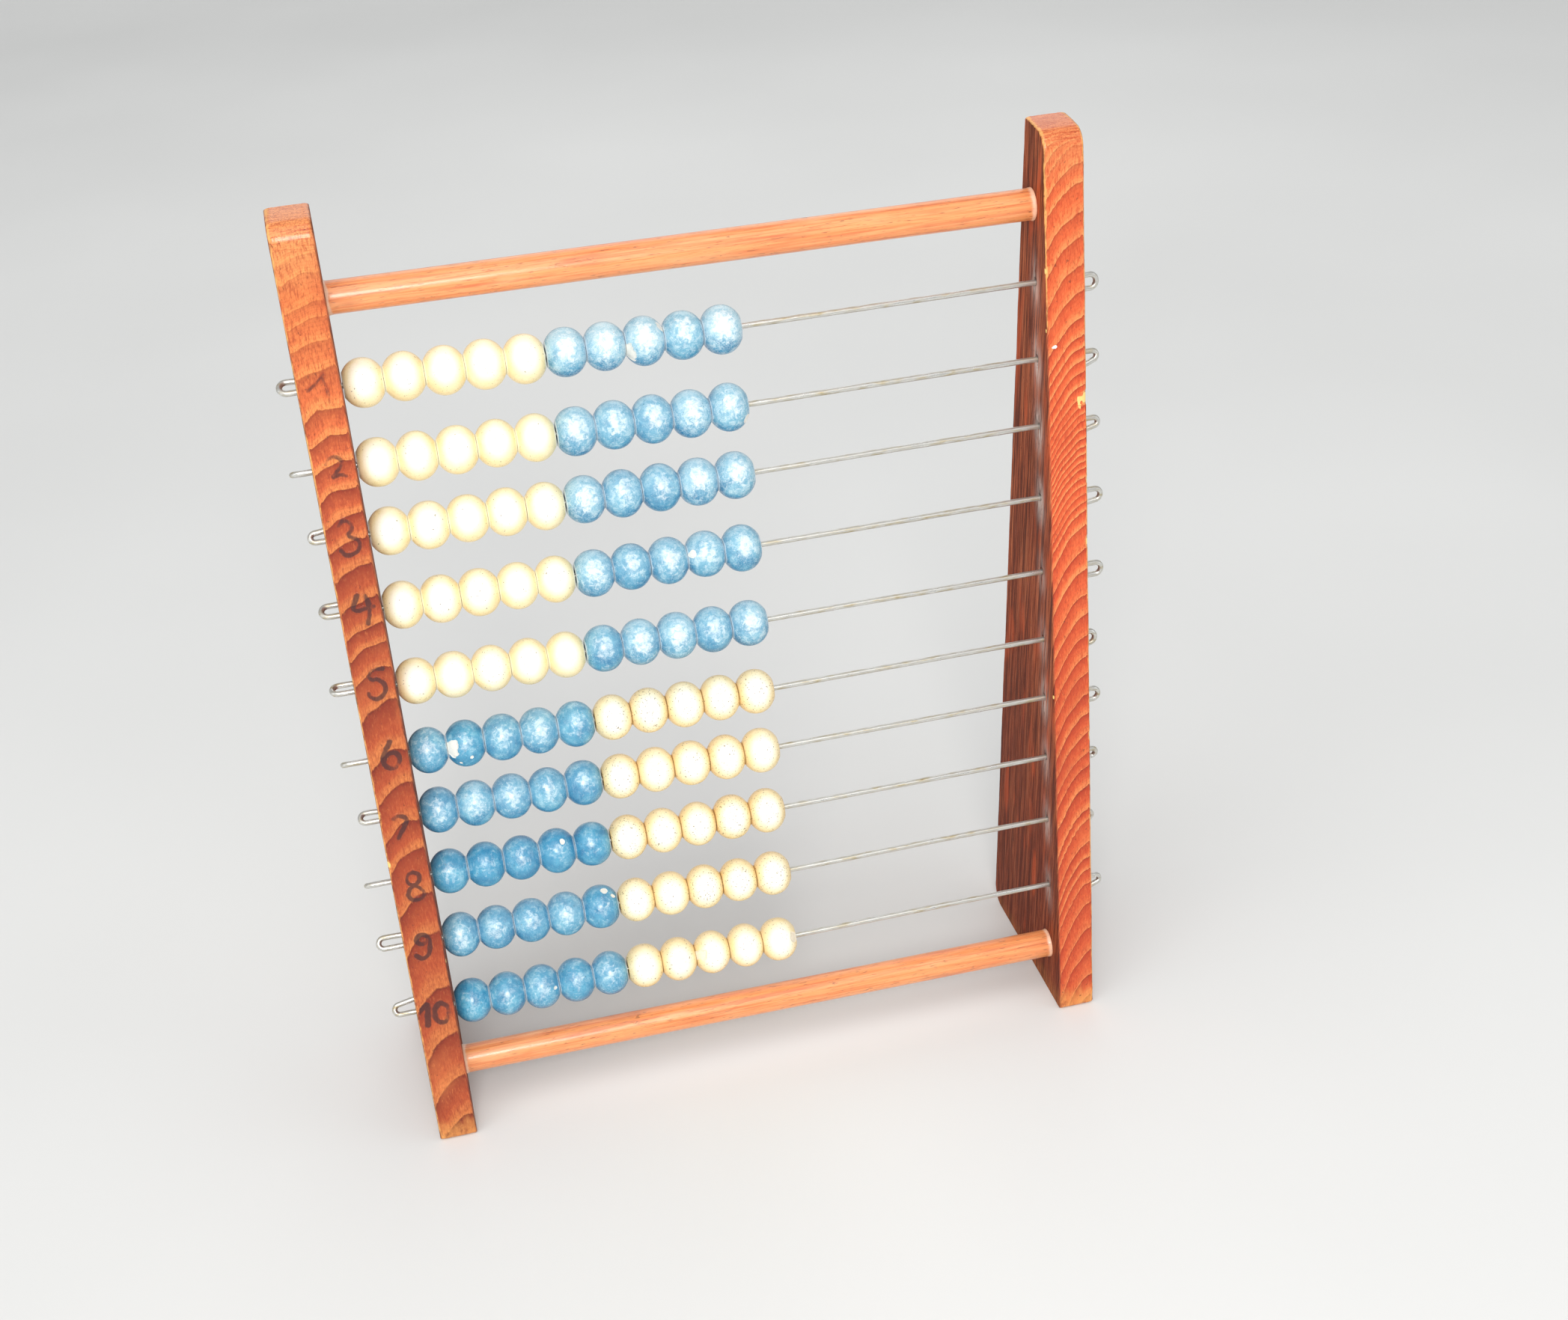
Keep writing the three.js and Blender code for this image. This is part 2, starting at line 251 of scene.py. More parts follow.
def board_wood(name, seed, light, mid, dark, line, gap, soft_top, quiet, lowdark, flat=False):
    """Stained board: growth rings from the 'rings' attribute, fibres, pores, worn arrises, stains and ink."""
    t = Tree(name)
    g = t.coords(LEAN - GRAIN)
    wobble = t.noise(t.scaled(g, 0.16, 0.5, 0.05, (seed, 0, 0)), 1.0, 3.0, 0.55)
    phase = t.add(t.attr("rings"), t.mul(t.sub(wobble, 0.5), 0.36))
    s = t.math('FRACT', phase)
    ring_id = t.math('FLOOR', phase)
    n = t.node("ShaderNodeTexWhiteNoise", noise_dimensions='1D')
    t.put(n.inputs["W"], t.add(ring_id, seed))
    each = n.outputs["Value"]
    half = tuple((a + b) / 2 for a, b in zip(dark, mid))
    sharp = t.ramp(s, [(0.0, line), (0.07, dark), (0.26 + soft_top, half), (0.55 + soft_top, mid), (0.82, light), (0.965, gap), (1.0, line)])
    faint = t.ramp(s, [(0.0, dark), (0.09, half), (0.5, mid), (0.90, mid), (0.97, light), (1.0, dark)])
    height_v = t.node("ShaderNodeSeparateXYZ")
    t.link(t.coords(LEAN), height_v.inputs[0])
    up = height_v.outputs["Z"]
    top = t.step(up, 190.0, 250.0)
    col = t.mix(t.mul(t.mul(t.step(each, 0.0, 0.8), quiet), t.step(up, 190.0, 250.0, 1.0, 0.25)), sharp, faint)
    col = t.mix(t.mul(top, 0.22), col, light)
    col = t.mix(t.mul(t.attr("calm"), 0.85), col, t.mix(wobble, light, t.mix(0.4, light, mid)))
    crown = t.step(up, 248.0, 262.0)
    col = t.mix(t.mul(crown, 0.32), col, lin(255, 190, 122))
    ends = t.noise(t.scaled(g, 0.22, 2.2, 2.2, (seed, 3, 3)), 1.0, 4.0, 0.65)
    col = t.mix(t.mul(t.step(up, 257.0, 264.0), t.step(ends, 0.46, 0.66, 0.0, 0.70)), col, lin(186, 74, 38))
    mot = t.noise(t.scaled(g, 1.5, 1.5, 0.8, (seed, 8, 2)), 1.0, 3.0, 0.6)
    col = t.mix(t.step(mot, 0.50, 0.70, 0.0, 0.26), col, dark)
    col = t.mix(t.step(mot, 0.45, 0.28, 0.0, 0.20), col, light)
    low = t.step(up, lowdark[0], lowdark[1])
    tint = (lowdark[2], lowdark[2] * 0.96, lowdark[2] * 0.92, 1.0)
    col = t.mix(low, col, t.mix(1.0, col, tint, 'MULTIPLY'))
    # fine lines inside a ring, which follow it
    inner_lines = t.noise(t.scaled(g, 0.25, 0.7, 0.06, (seed * 2, 0, 0)), 1.0, 2.0, 0.5)
    sub = t.math('SINE', t.add(t.mul(phase, 6.283 * 6), t.mul(inner_lines, 14.0)))
    col = t.mix(t.step(sub, 0.2, 1.0, 0.0, 0.16), col, dark)
    # fibres along the grain
    fib = t.noise(t.scaled(g, 2.6, 2.6, 0.09), 1.0, 4.0, 0.65)
    col = t.mix(t.step(fib, 0.45, 0.68, 0.0, 0.60), col, dark)
    col = t.mix(t.step(fib, 0.44, 0.26, 0.0, 0.30), col, light)
    pores = t.noise(t.scaled(g, 5.0, 5.0, 0.42, (3, 1, 2)), 1.0, 1.0, 0.5)
    pore = t.step(pores, 0.66, 0.74)
    col = t.mix(t.mul(pore, 0.50), col, line)
    # slow changes of the stain
    slow = t.noise(t.scaled(g, 0.05, 0.05, 0.022, (seed, 5, 1)), 1.0, 3.0, 0.6)
    col = t.mix(t.step(slow, 0.5, 0.78, 0.0, 0.42), col, lin(172, 66, 38))
    col = t.mix(t.step(slow, 0.46, 0.25, 0.0, 0.35), col, light)
    # inner faces: browner, darker, with rubbed grey marks at the wires
    face = t.attr("inner")
    v_streak = t.noise(t.scaled(g, 0.5, 1.1, 0.018, (9, seed, 0)), 1.0, 4.0, 0.6)
    brown = t.ramp(v_streak, [(0.32, lin(78, 32, 20)), (0.44, lin(142, 66, 40)), (0.55, lin(186, 98, 60)), (0.66, lin(92, 40, 26))])
    brown = t.mix(t.step(fib, 0.46, 0.64, 0.0, 0.88), brown, lin(58, 22, 13))
    brown = t.mix(t.step(fib, 0.43, 0.28, 0.0, 0.60), brown, lin(208, 122, 80))
    coarse = t.noise(t.scaled(g, 0.5, 0.95, 0.028, (5, seed, 2)), 1.0, 3.0, 0.6)
    brown = t.mix(t.step(coarse, 0.49, 0.62, 0.0, 0.80), brown, lin(46, 17, 10))
    brown = t.mix(t.step(coarse, 0.45, 0.34, 0.0, 0.45), brown, lin(214, 130, 86))
    brown = t.mix(t.step(up, 170.0, 10.0, 0.0, 0.42), brown, lin(84, 26, 12))
    brown = t.mix(t.mul(t.step(s, 0.14, 0.0), 0.35), brown, lin(74, 30, 20))
    brown = t.mix(t.mul(pore, 0.6), brown, lin(50, 22, 16))
    orange_spots = t.noise(t.scaled(g, 0.10, 0.16, 0.035, (2, 2, seed)), 1.0, 2.0, 0.5)
    brown = t.mix(t.step(orange_spots, 0.56, 0.70, 0.0, 0.60), brown, lin(202, 88, 46))
    col = t.mix(t.mul(face, 0.92), col, brown)
    smudge = t.mul(t.attr("smudge"), t.step(t.noise(t.scaled(g, 0.9, 0.9, 0.12), 1.0, 4.0, 0.65), 0.30, 0.58))
    col = t.mix(t.mul(smudge, 0.95), col, lin(230, 212, 202))
    # painted shade at the wire-hole mouths, with darker rings round the dowel sockets and three dark spots on the inner
    # face
    shade_and_dark_marks = t.mul(t.attr("shade_and_dark_marks"), t.step(t.noise(t.scaled(g, 0.8, 0.8, 0.2), 1.0, 3.0, 0.6), 0.3, 0.6))
    col = t.mix(t.mul(shade_and_dark_marks, 0.75), col, lin(52, 32, 28))
    # worn arrises: the stain is rubbed through to yellow wood, in patches
    rub = t.noise(t.scaled(g, 0.7, 0.7, 0.28, (seed, 1, 4)), 1.0, 4.0, 0.62)
    wear = t.attr("wear")
    worn = t.step(t.add(t.mul(wear, 0.62), t.mul(rub, 0.9)), 0.80, 1.06)
    col = t.mix(t.mul(worn, 0.72), col, lin(250, 186, 108))
    col = t.mix(t.mul(t.step(t.add(t.mul(wear, 0.5), t.mul(rub, 1.0)), 1.06, 1.16), 0.8), col, lin(255, 222, 150))
    heel = t.mul(t.step(t.add(up, t.mul(t.sub(rub, 0.5), 9.0)), 8.0, 0.5), t.sub(1.0, t.mul(face, 0.75)))
    stain = t.noise(t.scaled(g, 0.42, 0.42, 0.30, (1, seed, 1)), 1.0, 3.0, 0.6)
    col = t.mix(t.mul(heel, 0.66), col, t.mix(t.step(stain, 0.50, 0.72), lin(232, 160, 86), lin(156, 94, 54)))
    # small dents with dirt, and bare wood where splinters left
    specks = t.noise(t.scaled(g, 1.1, 1.1, 0.8, (7, 7, seed)), 1.0, 2.0, 0.4)
    col = t.mix(t.step(specks, 0.70, 0.76, 0.0, 0.55), col, lin(96, 44, 32))
    raw = t.attr("raw")
    rawf = t.step(t.add(raw, t.mul(t.sub(rub, 0.5), 0.9)), 0.42, 0.62)
    col = t.mix(rawf, col, t.mix(fib, lin(255, 232, 150), lin(238, 186, 104)))
    # ink of the numbers
    ink = t.attr("ink")
    inkn = t.noise(t.scaled(g, 1.6, 1.6, 0.9, (1, 9, 3)), 1.0, 3.0, 0.6)
    inkf = t.step(t.add(ink, t.mul(t.sub(inkn, 0.5), 0.55)), 0.30, 0.78)
    col = t.mix(t.mul(inkf, 0.80), col, t.mix(inkn, lin(34, 24, 32), lin(74, 44, 42)))
    paint = t.attr("fleck")
    col = t.mix(t.step(paint, 0.4, 0.6), col, lin(244, 240, 232))
    rough = t.add(t.step(fib, 0.2, 0.8, 0.34, 0.48), t.mul(face, 0.22))
    rough = t.math('ADD', rough, t.mul(worn, 0.10))
    height = t.add(t.mul(fib, 0.6), t.mul(pore, -0.7))
    height = t.add(height, t.mul(t.step(s, 0.0, 0.12, 0.0, 1.0), 0.20))
    nrm = t.bump(height, 0.45, 0.00022)
    if flat:
        return t.done(col, rough, nrm, Specular_IOR_Level=0.10)
    return t.done(col, rough, nrm, Specular_IOR_Level=0.15, Coat_Weight=0.50, Coat_Roughness=0.19)


def dowel_wood(name):
    t = Tree(name)
    g = t.coords(LEAN)
    streak = t.noise(t.scaled(g, 0.03, 1.3, 1.3, (1, 0, 0)), 1.0, 4.0, 0.6)
    fine = t.noise(t.scaled(g, 0.11, 5.0, 5.0, (2, 0, 0)), 1.0, 4.0, 0.7)
    col = t.ramp(streak, [(0.25, lin(216, 112, 62)), (0.45, lin(242, 146, 86)), (0.58, lin(250, 168, 106)), (0.75, lin(226, 122, 68))])
    col = t.mix(t.step(fine, 0.50, 0.72, 0.0, 0.45), col, lin(176, 84, 46))
    col = t.mix(t.step(fine, 0.44, 0.26, 0.0, 0.35), col, lin(252, 184, 128))
    flecks = t.noise(t.scaled(g, 0.34, 3.2, 3.2, (5, 5, 1)), 1.0, 1.0, 0.5)
    fleck = t.step(flecks, 0.64, 0.72)
    col = t.mix(t.mul(fleck, 0.5), col, lin(122, 56, 34))
    patch = t.noise(t.scaled(g, 0.035, 0.22, 0.22, (8, 3, 3)), 1.0, 3.0, 0.6)
    col = t.mix(t.step(patch, 0.53, 0.74, 0.0, 0.5), col, lin(178, 78, 46))
    col = t.mix(t.step(patch, 0.46, 0.26, 0.0, 0.45), col, lin(252, 190, 136))
    dirt = t.noise(t.scaled(g, 0.25, 0.6, 0.6, (4, 8, 3)), 1.0, 4.0, 0.65)
    col = t.mix(t.step(dirt, 0.64, 0.74, 0.0, 0.6), col, lin(96, 60, 48))
    glue = t.attr("glue")
    gn = t.noise(t.scaled(g, 0.7, 0.7, 0.7, (4, 2, 3)), 1.0, 3.0, 0.6)
    col = t.mix(t.step(t.add(glue, t.mul(t.sub(gn, 0.5), 0.5)), 0.35, 0.8, 0.0, 0.60), col, lin(250, 214, 186))
    rough = t.step(fine, 0.25, 0.75, 0.26, 0.40)
    nrm = t.bump(t.add(t.mul(fine, 0.5), t.mul(fleck, -0.6)), 0.4, 0.00018)
    return t.done(col, rough, nrm, Specular_IOR_Level=0.5, Coat_Weight=0.50, Coat_Roughness=0.19)


def bead_paint(name, blue):
    t = Tree(name)
    g = t.coords(LEAN)
    tone, age, ring, chip = t.attr("tone"), t.attr("age"), t.attr("ring"), t.attr("chip")
    broad = t.noise(t.scaled(g, 0.22, 0.22, 0.22), 1.0, 3.0, 0.6, 0.4)
    mottle = t.noise(t.scaled(g, 0.75, 0.75, 0.75, (4, 1, 1)), 1.0, 5.0, 0.68, 0.6)
    fine = t.noise(t.scaled(g, 3.2, 3.2, 3.2, (2, 5, 1)), 1.0, 4.0, 0.7)
    brush = t.noise(t.scaled(g, 2.2, 0.35, 0.35, (2, 0, 7)), 1.0, 3.0, 0.6)
    specks = t.noise(t.scaled(g, 2.0, 2.0, 2.0, (6, 6, 2)), 1.0, 2.0, 0.45)
    if blue:
        fade_and_highlight_side, front = t.attr("fade_and_highlight_side"), t.attr("front")
        base = t.ramp(broad, [(0.3, lin(40, 124, 166)), (0.5, lin(64, 152, 188)), (0.7, lin(96, 176, 204))])
        base = t.mix(t.mul(tone, 0.25), base, lin(44, 120, 172))
        # paler towards the top and front, more on the older rows: partly faded paint, partly painted highlight
        base = t.mix(t.mul(t.step(t.add(fade_and_highlight_side, t.mul(t.sub(broad, 0.5), 1.2)), -0.5, 1.0), t.mul(age, 0.75)), base, lin(166, 208, 222))
        pale = t.step(t.add(t.add(t.mul(t.sub(mottle, 0.5), 0.9), t.mul(age, 0.16)), t.add(t.mul(t.sub(broad, 0.5), 0.5), t.mul(fade_and_highlight_side, 0.08))), 0.06, 0.36)
        col = t.mix(t.mul(pale, 0.66), base, lin(188, 220, 230))
        col = t.mix(t.step(t.add(brush, t.mul(age, 0.08)), 0.54, 0.76, 0.0, 0.22), col, lin(176, 212, 228))
        white = t.step(t.add(t.add(fine, t.mul(mottle, 0.6)), t.mul(age, 0.13)), 0.92, 1.10)
        col = t.mix(t.mul(white, 0.50), col, lin(230, 238, 240))
        col = t.mix(t.step(t.sub(specks, t.mul(age, 0.03)), 0.665, 0.71, 0.0, 0.5), col, lin(46, 76, 96))
        # painted highlight: near-white on the side that faces the camera at rest, broken up by mottle and stronger on
        # older rows
        front_highlight = t.step(t.add(front, t.add(t.mul(t.sub(mottle, 0.5), 0.9), t.mul(age, 0.12))), 0.86, 1.14)
        col = t.mix(t.mul(front_highlight, t.add(t.mul(age, 0.50), 0.28)), col, lin(238, 246, 248))
        # painted shade: deeper blue on the side turned away from the camera
        col = t.mix(t.mul(t.step(front, 0.60, -0.05), 0.34), col, lin(34, 104, 152))
        grime = t.step(t.add(t.mul(ring, 0.8), t.mul(fine, 0.5)), 0.55, 0.85)
        col = t.mix(t.mul(grime, 0.16), col, lin(90, 120, 132))
        bare = t.step(t.add(ring, t.mul(t.sub(mottle, 0.5), 1.0)), 0.45, 0.85)
        col = t.mix(t.mul(bare, 0.80), col, lin(214, 228, 236))
        under = t.mix(fine, lin(250, 250, 246), lin(226, 220, 204))
        edge = t.step(chip, 0.02, 0.5)
    else:
        front = t.attr("front")
        base = t.ramp(broad, [(0.3, lin(250, 234, 178)), (0.5, lin(253, 240, 194)), (0.7, lin(255, 245, 208))])
        base = t.mix(t.mul(tone, 0.30), base, lin(248, 226, 166))
        col = t.mix(t.step(t.add(mottle, t.mul(age, 0.12)), 0.54, 0.84, 0.0, 0.34), base, lin(228, 198, 130))
        grime = t.step(t.add(t.add(t.mul(ring, 0.42), t.mul(fine, 0.42)), t.mul(age, 0.16)), 0.56, 0.86)
        col = t.mix(t.mul(grime, 0.45), col, lin(186, 142, 82))
        # painted highlight: near-white on the side that faces the camera at rest
        col = t.mix(t.mul(t.step(front, 0.48, 0.94), 0.85), col, lin(255, 254, 242))
        # painted shade: warm brown on the side turned away from the camera, stronger on older beads
        turned_away_shade = t.step(t.add(front, t.mul(t.sub(mottle, 0.5), 0.7)), 0.66, 0.10)
        col = t.mix(t.mul(turned_away_shade, t.add(t.mul(age, 0.28), 0.22)), col, lin(236, 184, 104))
        spot = t.step(t.add(specks, t.mul(age, 0.060)), 0.705, 0.745)
        col = t.mix(t.mul(spot, 0.80), col, lin(96, 66, 38))
        smear = t.step(t.add(t.add(t.mul(mottle, 0.7), t.mul(fine, 0.5)), t.mul(age, 0.09)), 0.76, 0.90)
        col = t.mix(t.mul(smear, 0.42), col, lin(128, 94, 54))
        # painted light: near-white in the wedge where two beads meet, on the younger beads, to cancel the shade there
        joint_light = t.mul(t.step(ring, 0.1, 0.9), t.step(age, 0.7, 0.2))
        col = t.mix(t.mul(joint_light, 0.9), col, lin(255, 250, 226))
        bare = t.mul(t.step(t.add(ring, t.mul(t.sub(mottle, 0.5), 1.0)), 0.80, 1.0), t.step(age, 0.4, 0.8))
        col = t.mix(t.mul(bare, 0.5), col, lin(196, 158, 98))
        under = t.mix(fine, lin(252, 248, 236), lin(232, 214, 176))
        edge = t.step(chip, 0.02, 0.5)
    col = t.mix(edge, col, under)
    rough = t.step(t.add(fine, t.mul(mottle, 0.5)), 0.4, 1.1, 0.20, 0.42)
    rough = t.add(rough, t.mul(edge, 0.25))
    h = t.add(t.mul(fine, 0.35), t.add(t.mul(mottle, 0.6), t.mul(brush, 0.25)))
    nrm = t.bump(h, 0.30, 0.00012)
    return t.done(col, rough, nrm, Specular_IOR_Level=0.5, Coat_Weight=0.25, Coat_Roughness=0.12)


def steel_wire(name):
    t = Tree(name)
    g = t.coords(LEAN)
    blot = t.noise(t.scaled(g, 0.22, 1.2, 1.2, (3, 1, 0)), 1.0, 4.0, 0.6)
    scratch = t.noise(t.scaled(g, 0.5, 7.0, 7.0), 1.0, 3.0, 0.6)
    col = t.ramp(blot, [(0.3, lin(222, 222, 218)), (0.52, lin(204, 202, 194)), (0.66, lin(190, 178, 148)), (0.80, lin(146, 120, 84))])
    col = t.mix(t.step(scratch, 0.5, 0.75, 0.0, 0.3), col, lin(150, 146, 138))
    rust = t.step(t.noise(t.scaled(g, 0.55, 1.6, 1.6, (9, 4, 2)), 1.0, 4.0, 0.65), 0.66, 0.78)
    col = t.mix(t.mul(rust, 0.6), col, lin(128, 84, 50))
    rough = t.step(blot, 0.3, 0.75, 0.26, 0.52)
    metal = t.step(rust, 0.0, 1.0, 0.85, 0.30)
    t.put(t.bsdf.inputs["Metallic"], metal)
    nrm = t.bump(t.add(t.mul(scratch, 0.5), t.mul(rust, 0.5)), 0.35, 0.0001)
    return t.done(col, rough, nrm, Specular_IOR_Level=0.5)


RIGHT_LOOK = (3.0, lin(250, 146, 84), lin(232, 100, 54), lin(186, 58, 28), lin(118, 32, 16), lin(253, 160, 98), 0.0, 0.60, (165.0, 105.0, 0.84))
LEFT_LOOK = (11.0, lin(250, 150, 84), lin(218, 102, 56), lin(152, 54, 30), lin(118, 38, 22), lin(250, 152, 84), 0.06, 0.35, (224.0, 168.0, 0.70))
M_RIGHT = board_wood("wood_right", *RIGHT_LOOK)
M_LEFT = board_wood("wood_left", *LEFT_LOOK)
M_RIGHT_FACE = board_wood("wood_right_face", *RIGHT_LOOK, flat=True)
M_LEFT_FACE = board_wood("wood_left_face", *LEFT_LOOK, flat=True)
M_DOWEL = dowel_wood("dowel_wood")
M_BLUE = bead_paint("paint_blue", True)
M_CREAM = bead_paint("paint_cream", False)
M_STEEL = steel_wire("wire_steel")


# ---------------------------------------------------------------------------
# Side boards
# ---------------------------------------------------------------------------
def foot(u):
    return -0.6 + TAN_LEAN * u


def crest_u(height):
    return (DEPTH - TAPER * (height - foot(DEPTH))) / (1 + TAPER ** 2)


def outline(height):
    """Very fine closed outline in (u, v) with outward normals; returns points, normals, arc length, and the arc length at the middle of each corner."""
    CORNERS = [  # (u, v), radius: toe, heel, crest, brow
        ((0.0, foot(0)), 1.2),
        ((DEPTH, foot(DEPTH)), 5.5),
        ((crest_u(height), height + TAPER * crest_u(height)), 0.8),
        ((0.0, height), 5.2),
    ]
    pts, mids = [], []
    n = len(CORNERS)
    for i in range(n):
        p0, p1, p2 = (np.array(CORNERS[(i + k - 1) % n][0], float) for k in range(3))
        r = CORNERS[i][1]
        d0, d1 = (p1 - p0) / np.linalg.norm(p1 - p0), (p2 - p1) / np.linalg.norm(p2 - p1)
        turn = math.acos(np.clip(d0 @ d1, -1, 1))
        tl = r * math.tan(turn / 2)
        start = p1 - d0 * tl
        left = np.array([-d0[1], d0[0]])
        centre = start + left * r
        a0 = math.atan2(*(start - centre)[::-1])
        m = 60
        for k in range(m + 1):
            a = a0 + turn * k / m
            pts.append((centre + r * np.array([math.cos(a), math.sin(a)]), np.array([math.cos(a), math.sin(a)])))
            if k == m // 2:
                mids.append(len(pts) - 1)
        end = pts[-1][0]
        q0, q1, q2 = (np.array(CORNERS[(i + k) % n][0], float) for k in range(3))
        e0, e1 = (q1 - q0) / np.linalg.norm(q1 - q0), (q2 - q1) / np.linalg.norm(q2 - q1)
        t2 = math.acos(np.clip(e0 @ e1, -1, 1))
        stop = q1 - e0 * CORNERS[(i + 1) % n][1] * math.tan(t2 / 2)
        steps = max(2, int(np.linalg.norm(stop - end) / 0.1))
        nr = np.array([e0[1], -e0[0]])
        for k in range(1, steps):
            pts.append((end + (stop - end) * k / steps, nr))
    P = np.array([p for p, _ in pts])
    N = np.array([q for _, q in pts])
    d = np.linalg.norm(np.roll(P, -1, 0) - P, axis=1)
    s = np.concatenate([[0], np.cumsum(d)])
    return P, N, s, mids


OUTLINES = {side: outline(HEIGHTS[side]) for side in (1, -1)}


def at_arc(s, side):
    OUT_P, OUT_N, OUT_S, _ = OUTLINES[side]
    s = np.mod(s, OUT_S[-1])
    P = np.vstack([OUT_P, OUT_P[:1]])
    N = np.vstack([OUT_N, OUT_N[:1]])
    p = np.stack([np.interp(s, OUT_S, P[:, k]) for k in range(2)], 1)
    q = np.stack([np.interp(s, OUT_S, N[:, k]) for k in range(2)], 1)
    q /= np.linalg.norm(q, axis=1)[:, None]
    return p, q


RIGHT_RINGS = [262.5, 256.7, 252.0, 244.2, 237.8, 230.2, 223.9, 217.0, 212.0, 208.9, 205.2, 202.0, 198.3, 195.2, 192.7, 190.6, 188.7, 186.4, 183.9,
               181.8, 179.8, 177.7, 175.7, 172.9, 170.4, 167.7, 165.2, 162.5, 158.2, 151.3, 145.2, 137.7, 131.7, 125.2, 118.5, 113.3, 106.8,
               100.7, 94.6, 88.3, 84.0, 77.2, 68.6, 65.3, 57.7, 53.0, 48.8, 44.0, 36.3, 27.7, 19.7, 11.0, 3.0, -6.0, -14.0]
LEFT_RINGS = [264.0, 260.6, 256.2, 248.9, 245.3, 239.5, 233.0, 222.7, 216.0, 209.3, 202.2, 195.2, 188.5, 181.4, 172.3, 165.0, 159.6, 152.3, 142.5,
              128.3, 117.9, 106.2, 97.0, 83.0, 71.3, 52.3, 36.0, 20.6, 7.0, -6.0]


def ring_phase(side, x, u, v):
    """Growth-ring number at a point: rings are shells cut by the board, nearly straight along its back edge and bowed across its thickness."""
    if side > 0:
        q = (x - HALF) / THICK
        drop, power, table = 9.5 + (240 - v) * 0.033, 1.7, RIGHT_RINGS
    else:
        q = (x + HALF + THICK) / THICK
        drop, power, table = 2.8 + (240 - v) * 0.028, 2.2, LEFT_RINGS
    q = np.clip(q, 0, 1)
    drop = np.clip(drop, 2.5, 18)
    at = v + u / TAPER + drop * (1 - q) ** power
    at = at + 0.5 * wave(5 + side, x * 0.5, v * 0.12)
    up = np.array(table[::-1])
    idx = np.arange(len(up))[::-1].astype(float)
    step = 4.6 if side > 0 else 6.4
    above = idx[-1] - (at - up[-1]) / step + 0.35 * np.sin(at / 9.0)
    below = idx[0] + (up[0] - at) / step
    inside = np.interp(at, up, idx)
    return np.where(at > up[-1], above, np.where(at < up[0], below, inside)) + 100.0


HOLE_MARKS = [0.5, 0.7, 0.9, 0.8, 0.35, 0.4, 0.6, 0.45, 0.5, 0.4]


def board_attrs(side, p):
    x, u, v = p[:, 0], p[:, 1], p[:, 2]
    inner_x = side * HALF
    inner = 1 - smooth(0.05, 0.55, np.abs(x - inner_x))
    faces = 1 - smooth(0.05, 0.55, np.minimum(np.abs(x - inner_x), np.abs(x - inner_x - side * THICK)))
    calm = 0.55 * smooth(215, 245, v) + 0.45 * smooth(257, 263, v) if side < 0 else 0.4 * smooth(262, 264, v)
    smudge = np.zeros(len(p))
    shade_and_dark_marks = np.zeros(len(p))
    for i, vi in enumerate(ROWS):
        du, dv = u - WIRE_U, v - vi
        r = np.sqrt((du / 2.8) ** 2 + ((dv + 0.8) / 6.0) ** 2)
        smudge += 1.25 * HOLE_MARKS[i] * np.exp(-r ** 2)
        # painted shade at each wire-hole mouth, just above the wire
        r1 = np.sqrt((du / 1.5) ** 2 + ((dv - 1.3) / 1.8) ** 2)
        shade_and_dark_marks += 0.9 * np.exp(-r1 ** 2)
    # three dark spots on the inner face near rows 3 to 5
    for vi, s0 in [(187, 0.8), (170, 0.7), (154, 0.4)]:
        r = np.sqrt(((u - 11) / 3.2) ** 2 + ((v - vi) / 7) ** 2)
        shade_and_dark_marks += s0 * np.exp(-r ** 2)
    # darker round the dowel sockets
    for vd in (TOP_DOWEL_V - side * 0.75, BOTTOM_DOWEL_V - side * 0.75):
        d = np.hypot(u - DOWEL_U, v - vd) - DOWEL_R
        shade_and_dark_marks += 0.35 * np.exp(-(np.maximum(d, 0) / 1.0) ** 2)
    smudge *= inner
    shade_and_dark_marks *= inner
    return {"rings": ring_phase(side, x, u, v), "calm": calm, "inner": faces, "smudge": np.clip(smudge, 0, 1), "shade_and_dark_marks": np.clip(shade_and_dark_marks, 0, 1)}


# splinters gone from an arris: (side of board, +1 outer or -1 inner arris, v, half length, depth)
CHIPS = {1: [(1, 194.5, 2.3, 1.6), (1, 153.2, 1.8, 0.7), (1, 171.0, 1.2, 0.45), (-1, 214.0, 1.2, 0.35),
             (-1, 229.8, 1.6, 0.4), (1, 93.0, 1.6, 0.4), (-1, 107.0, 1.2, 0.4)],
         -1: [(1, 108.5, 2.0, 0.45), (1, 93.8, 1.6, 0.8), (-1, 60.0, 1.6, 0.35), (1, 47.0, 1.2, 0.35)]}


def raw_wood(side, p):
    """Bare wood where a splinter left: widest at the arris, running out in a point along the grain."""
    x, u, v = p[:, 0], p[:, 1], p[:, 2]
    out = np.zeros(len(p))
    for which, cv, half, depth in CHIPS[side]:
        face = side * (HALF + THICK) if which > 0 else side * HALF
        d = np.abs(x - face)
        dv = v - cv
        reach = depth * 0.95 * np.clip(1 - np.abs(dv / half) ** 1.6, 0, 1)
        if depth > 1.5:      # the long one also has a tail pointing down
            tail = 2.6 * np.exp(-((d - 1.9 - 0.10 * (dv + 3)) / 0.42) ** 2) * smooth(-half - 2.8, -half + 1.5, dv) * smooth(1.5, -0.5, dv)
        else:
            tail = 0
        e = smooth(-0.35, 0.25, reach - d) * smooth(0.9, 0.3, np.abs(dv) / half) + 0.5 * tail
        out = np.maximum(out, np.clip(e, 0, 1) * min(1.0, 0.35 + depth / 1.6) * smooth(1.6, 0.8, u))
    return out


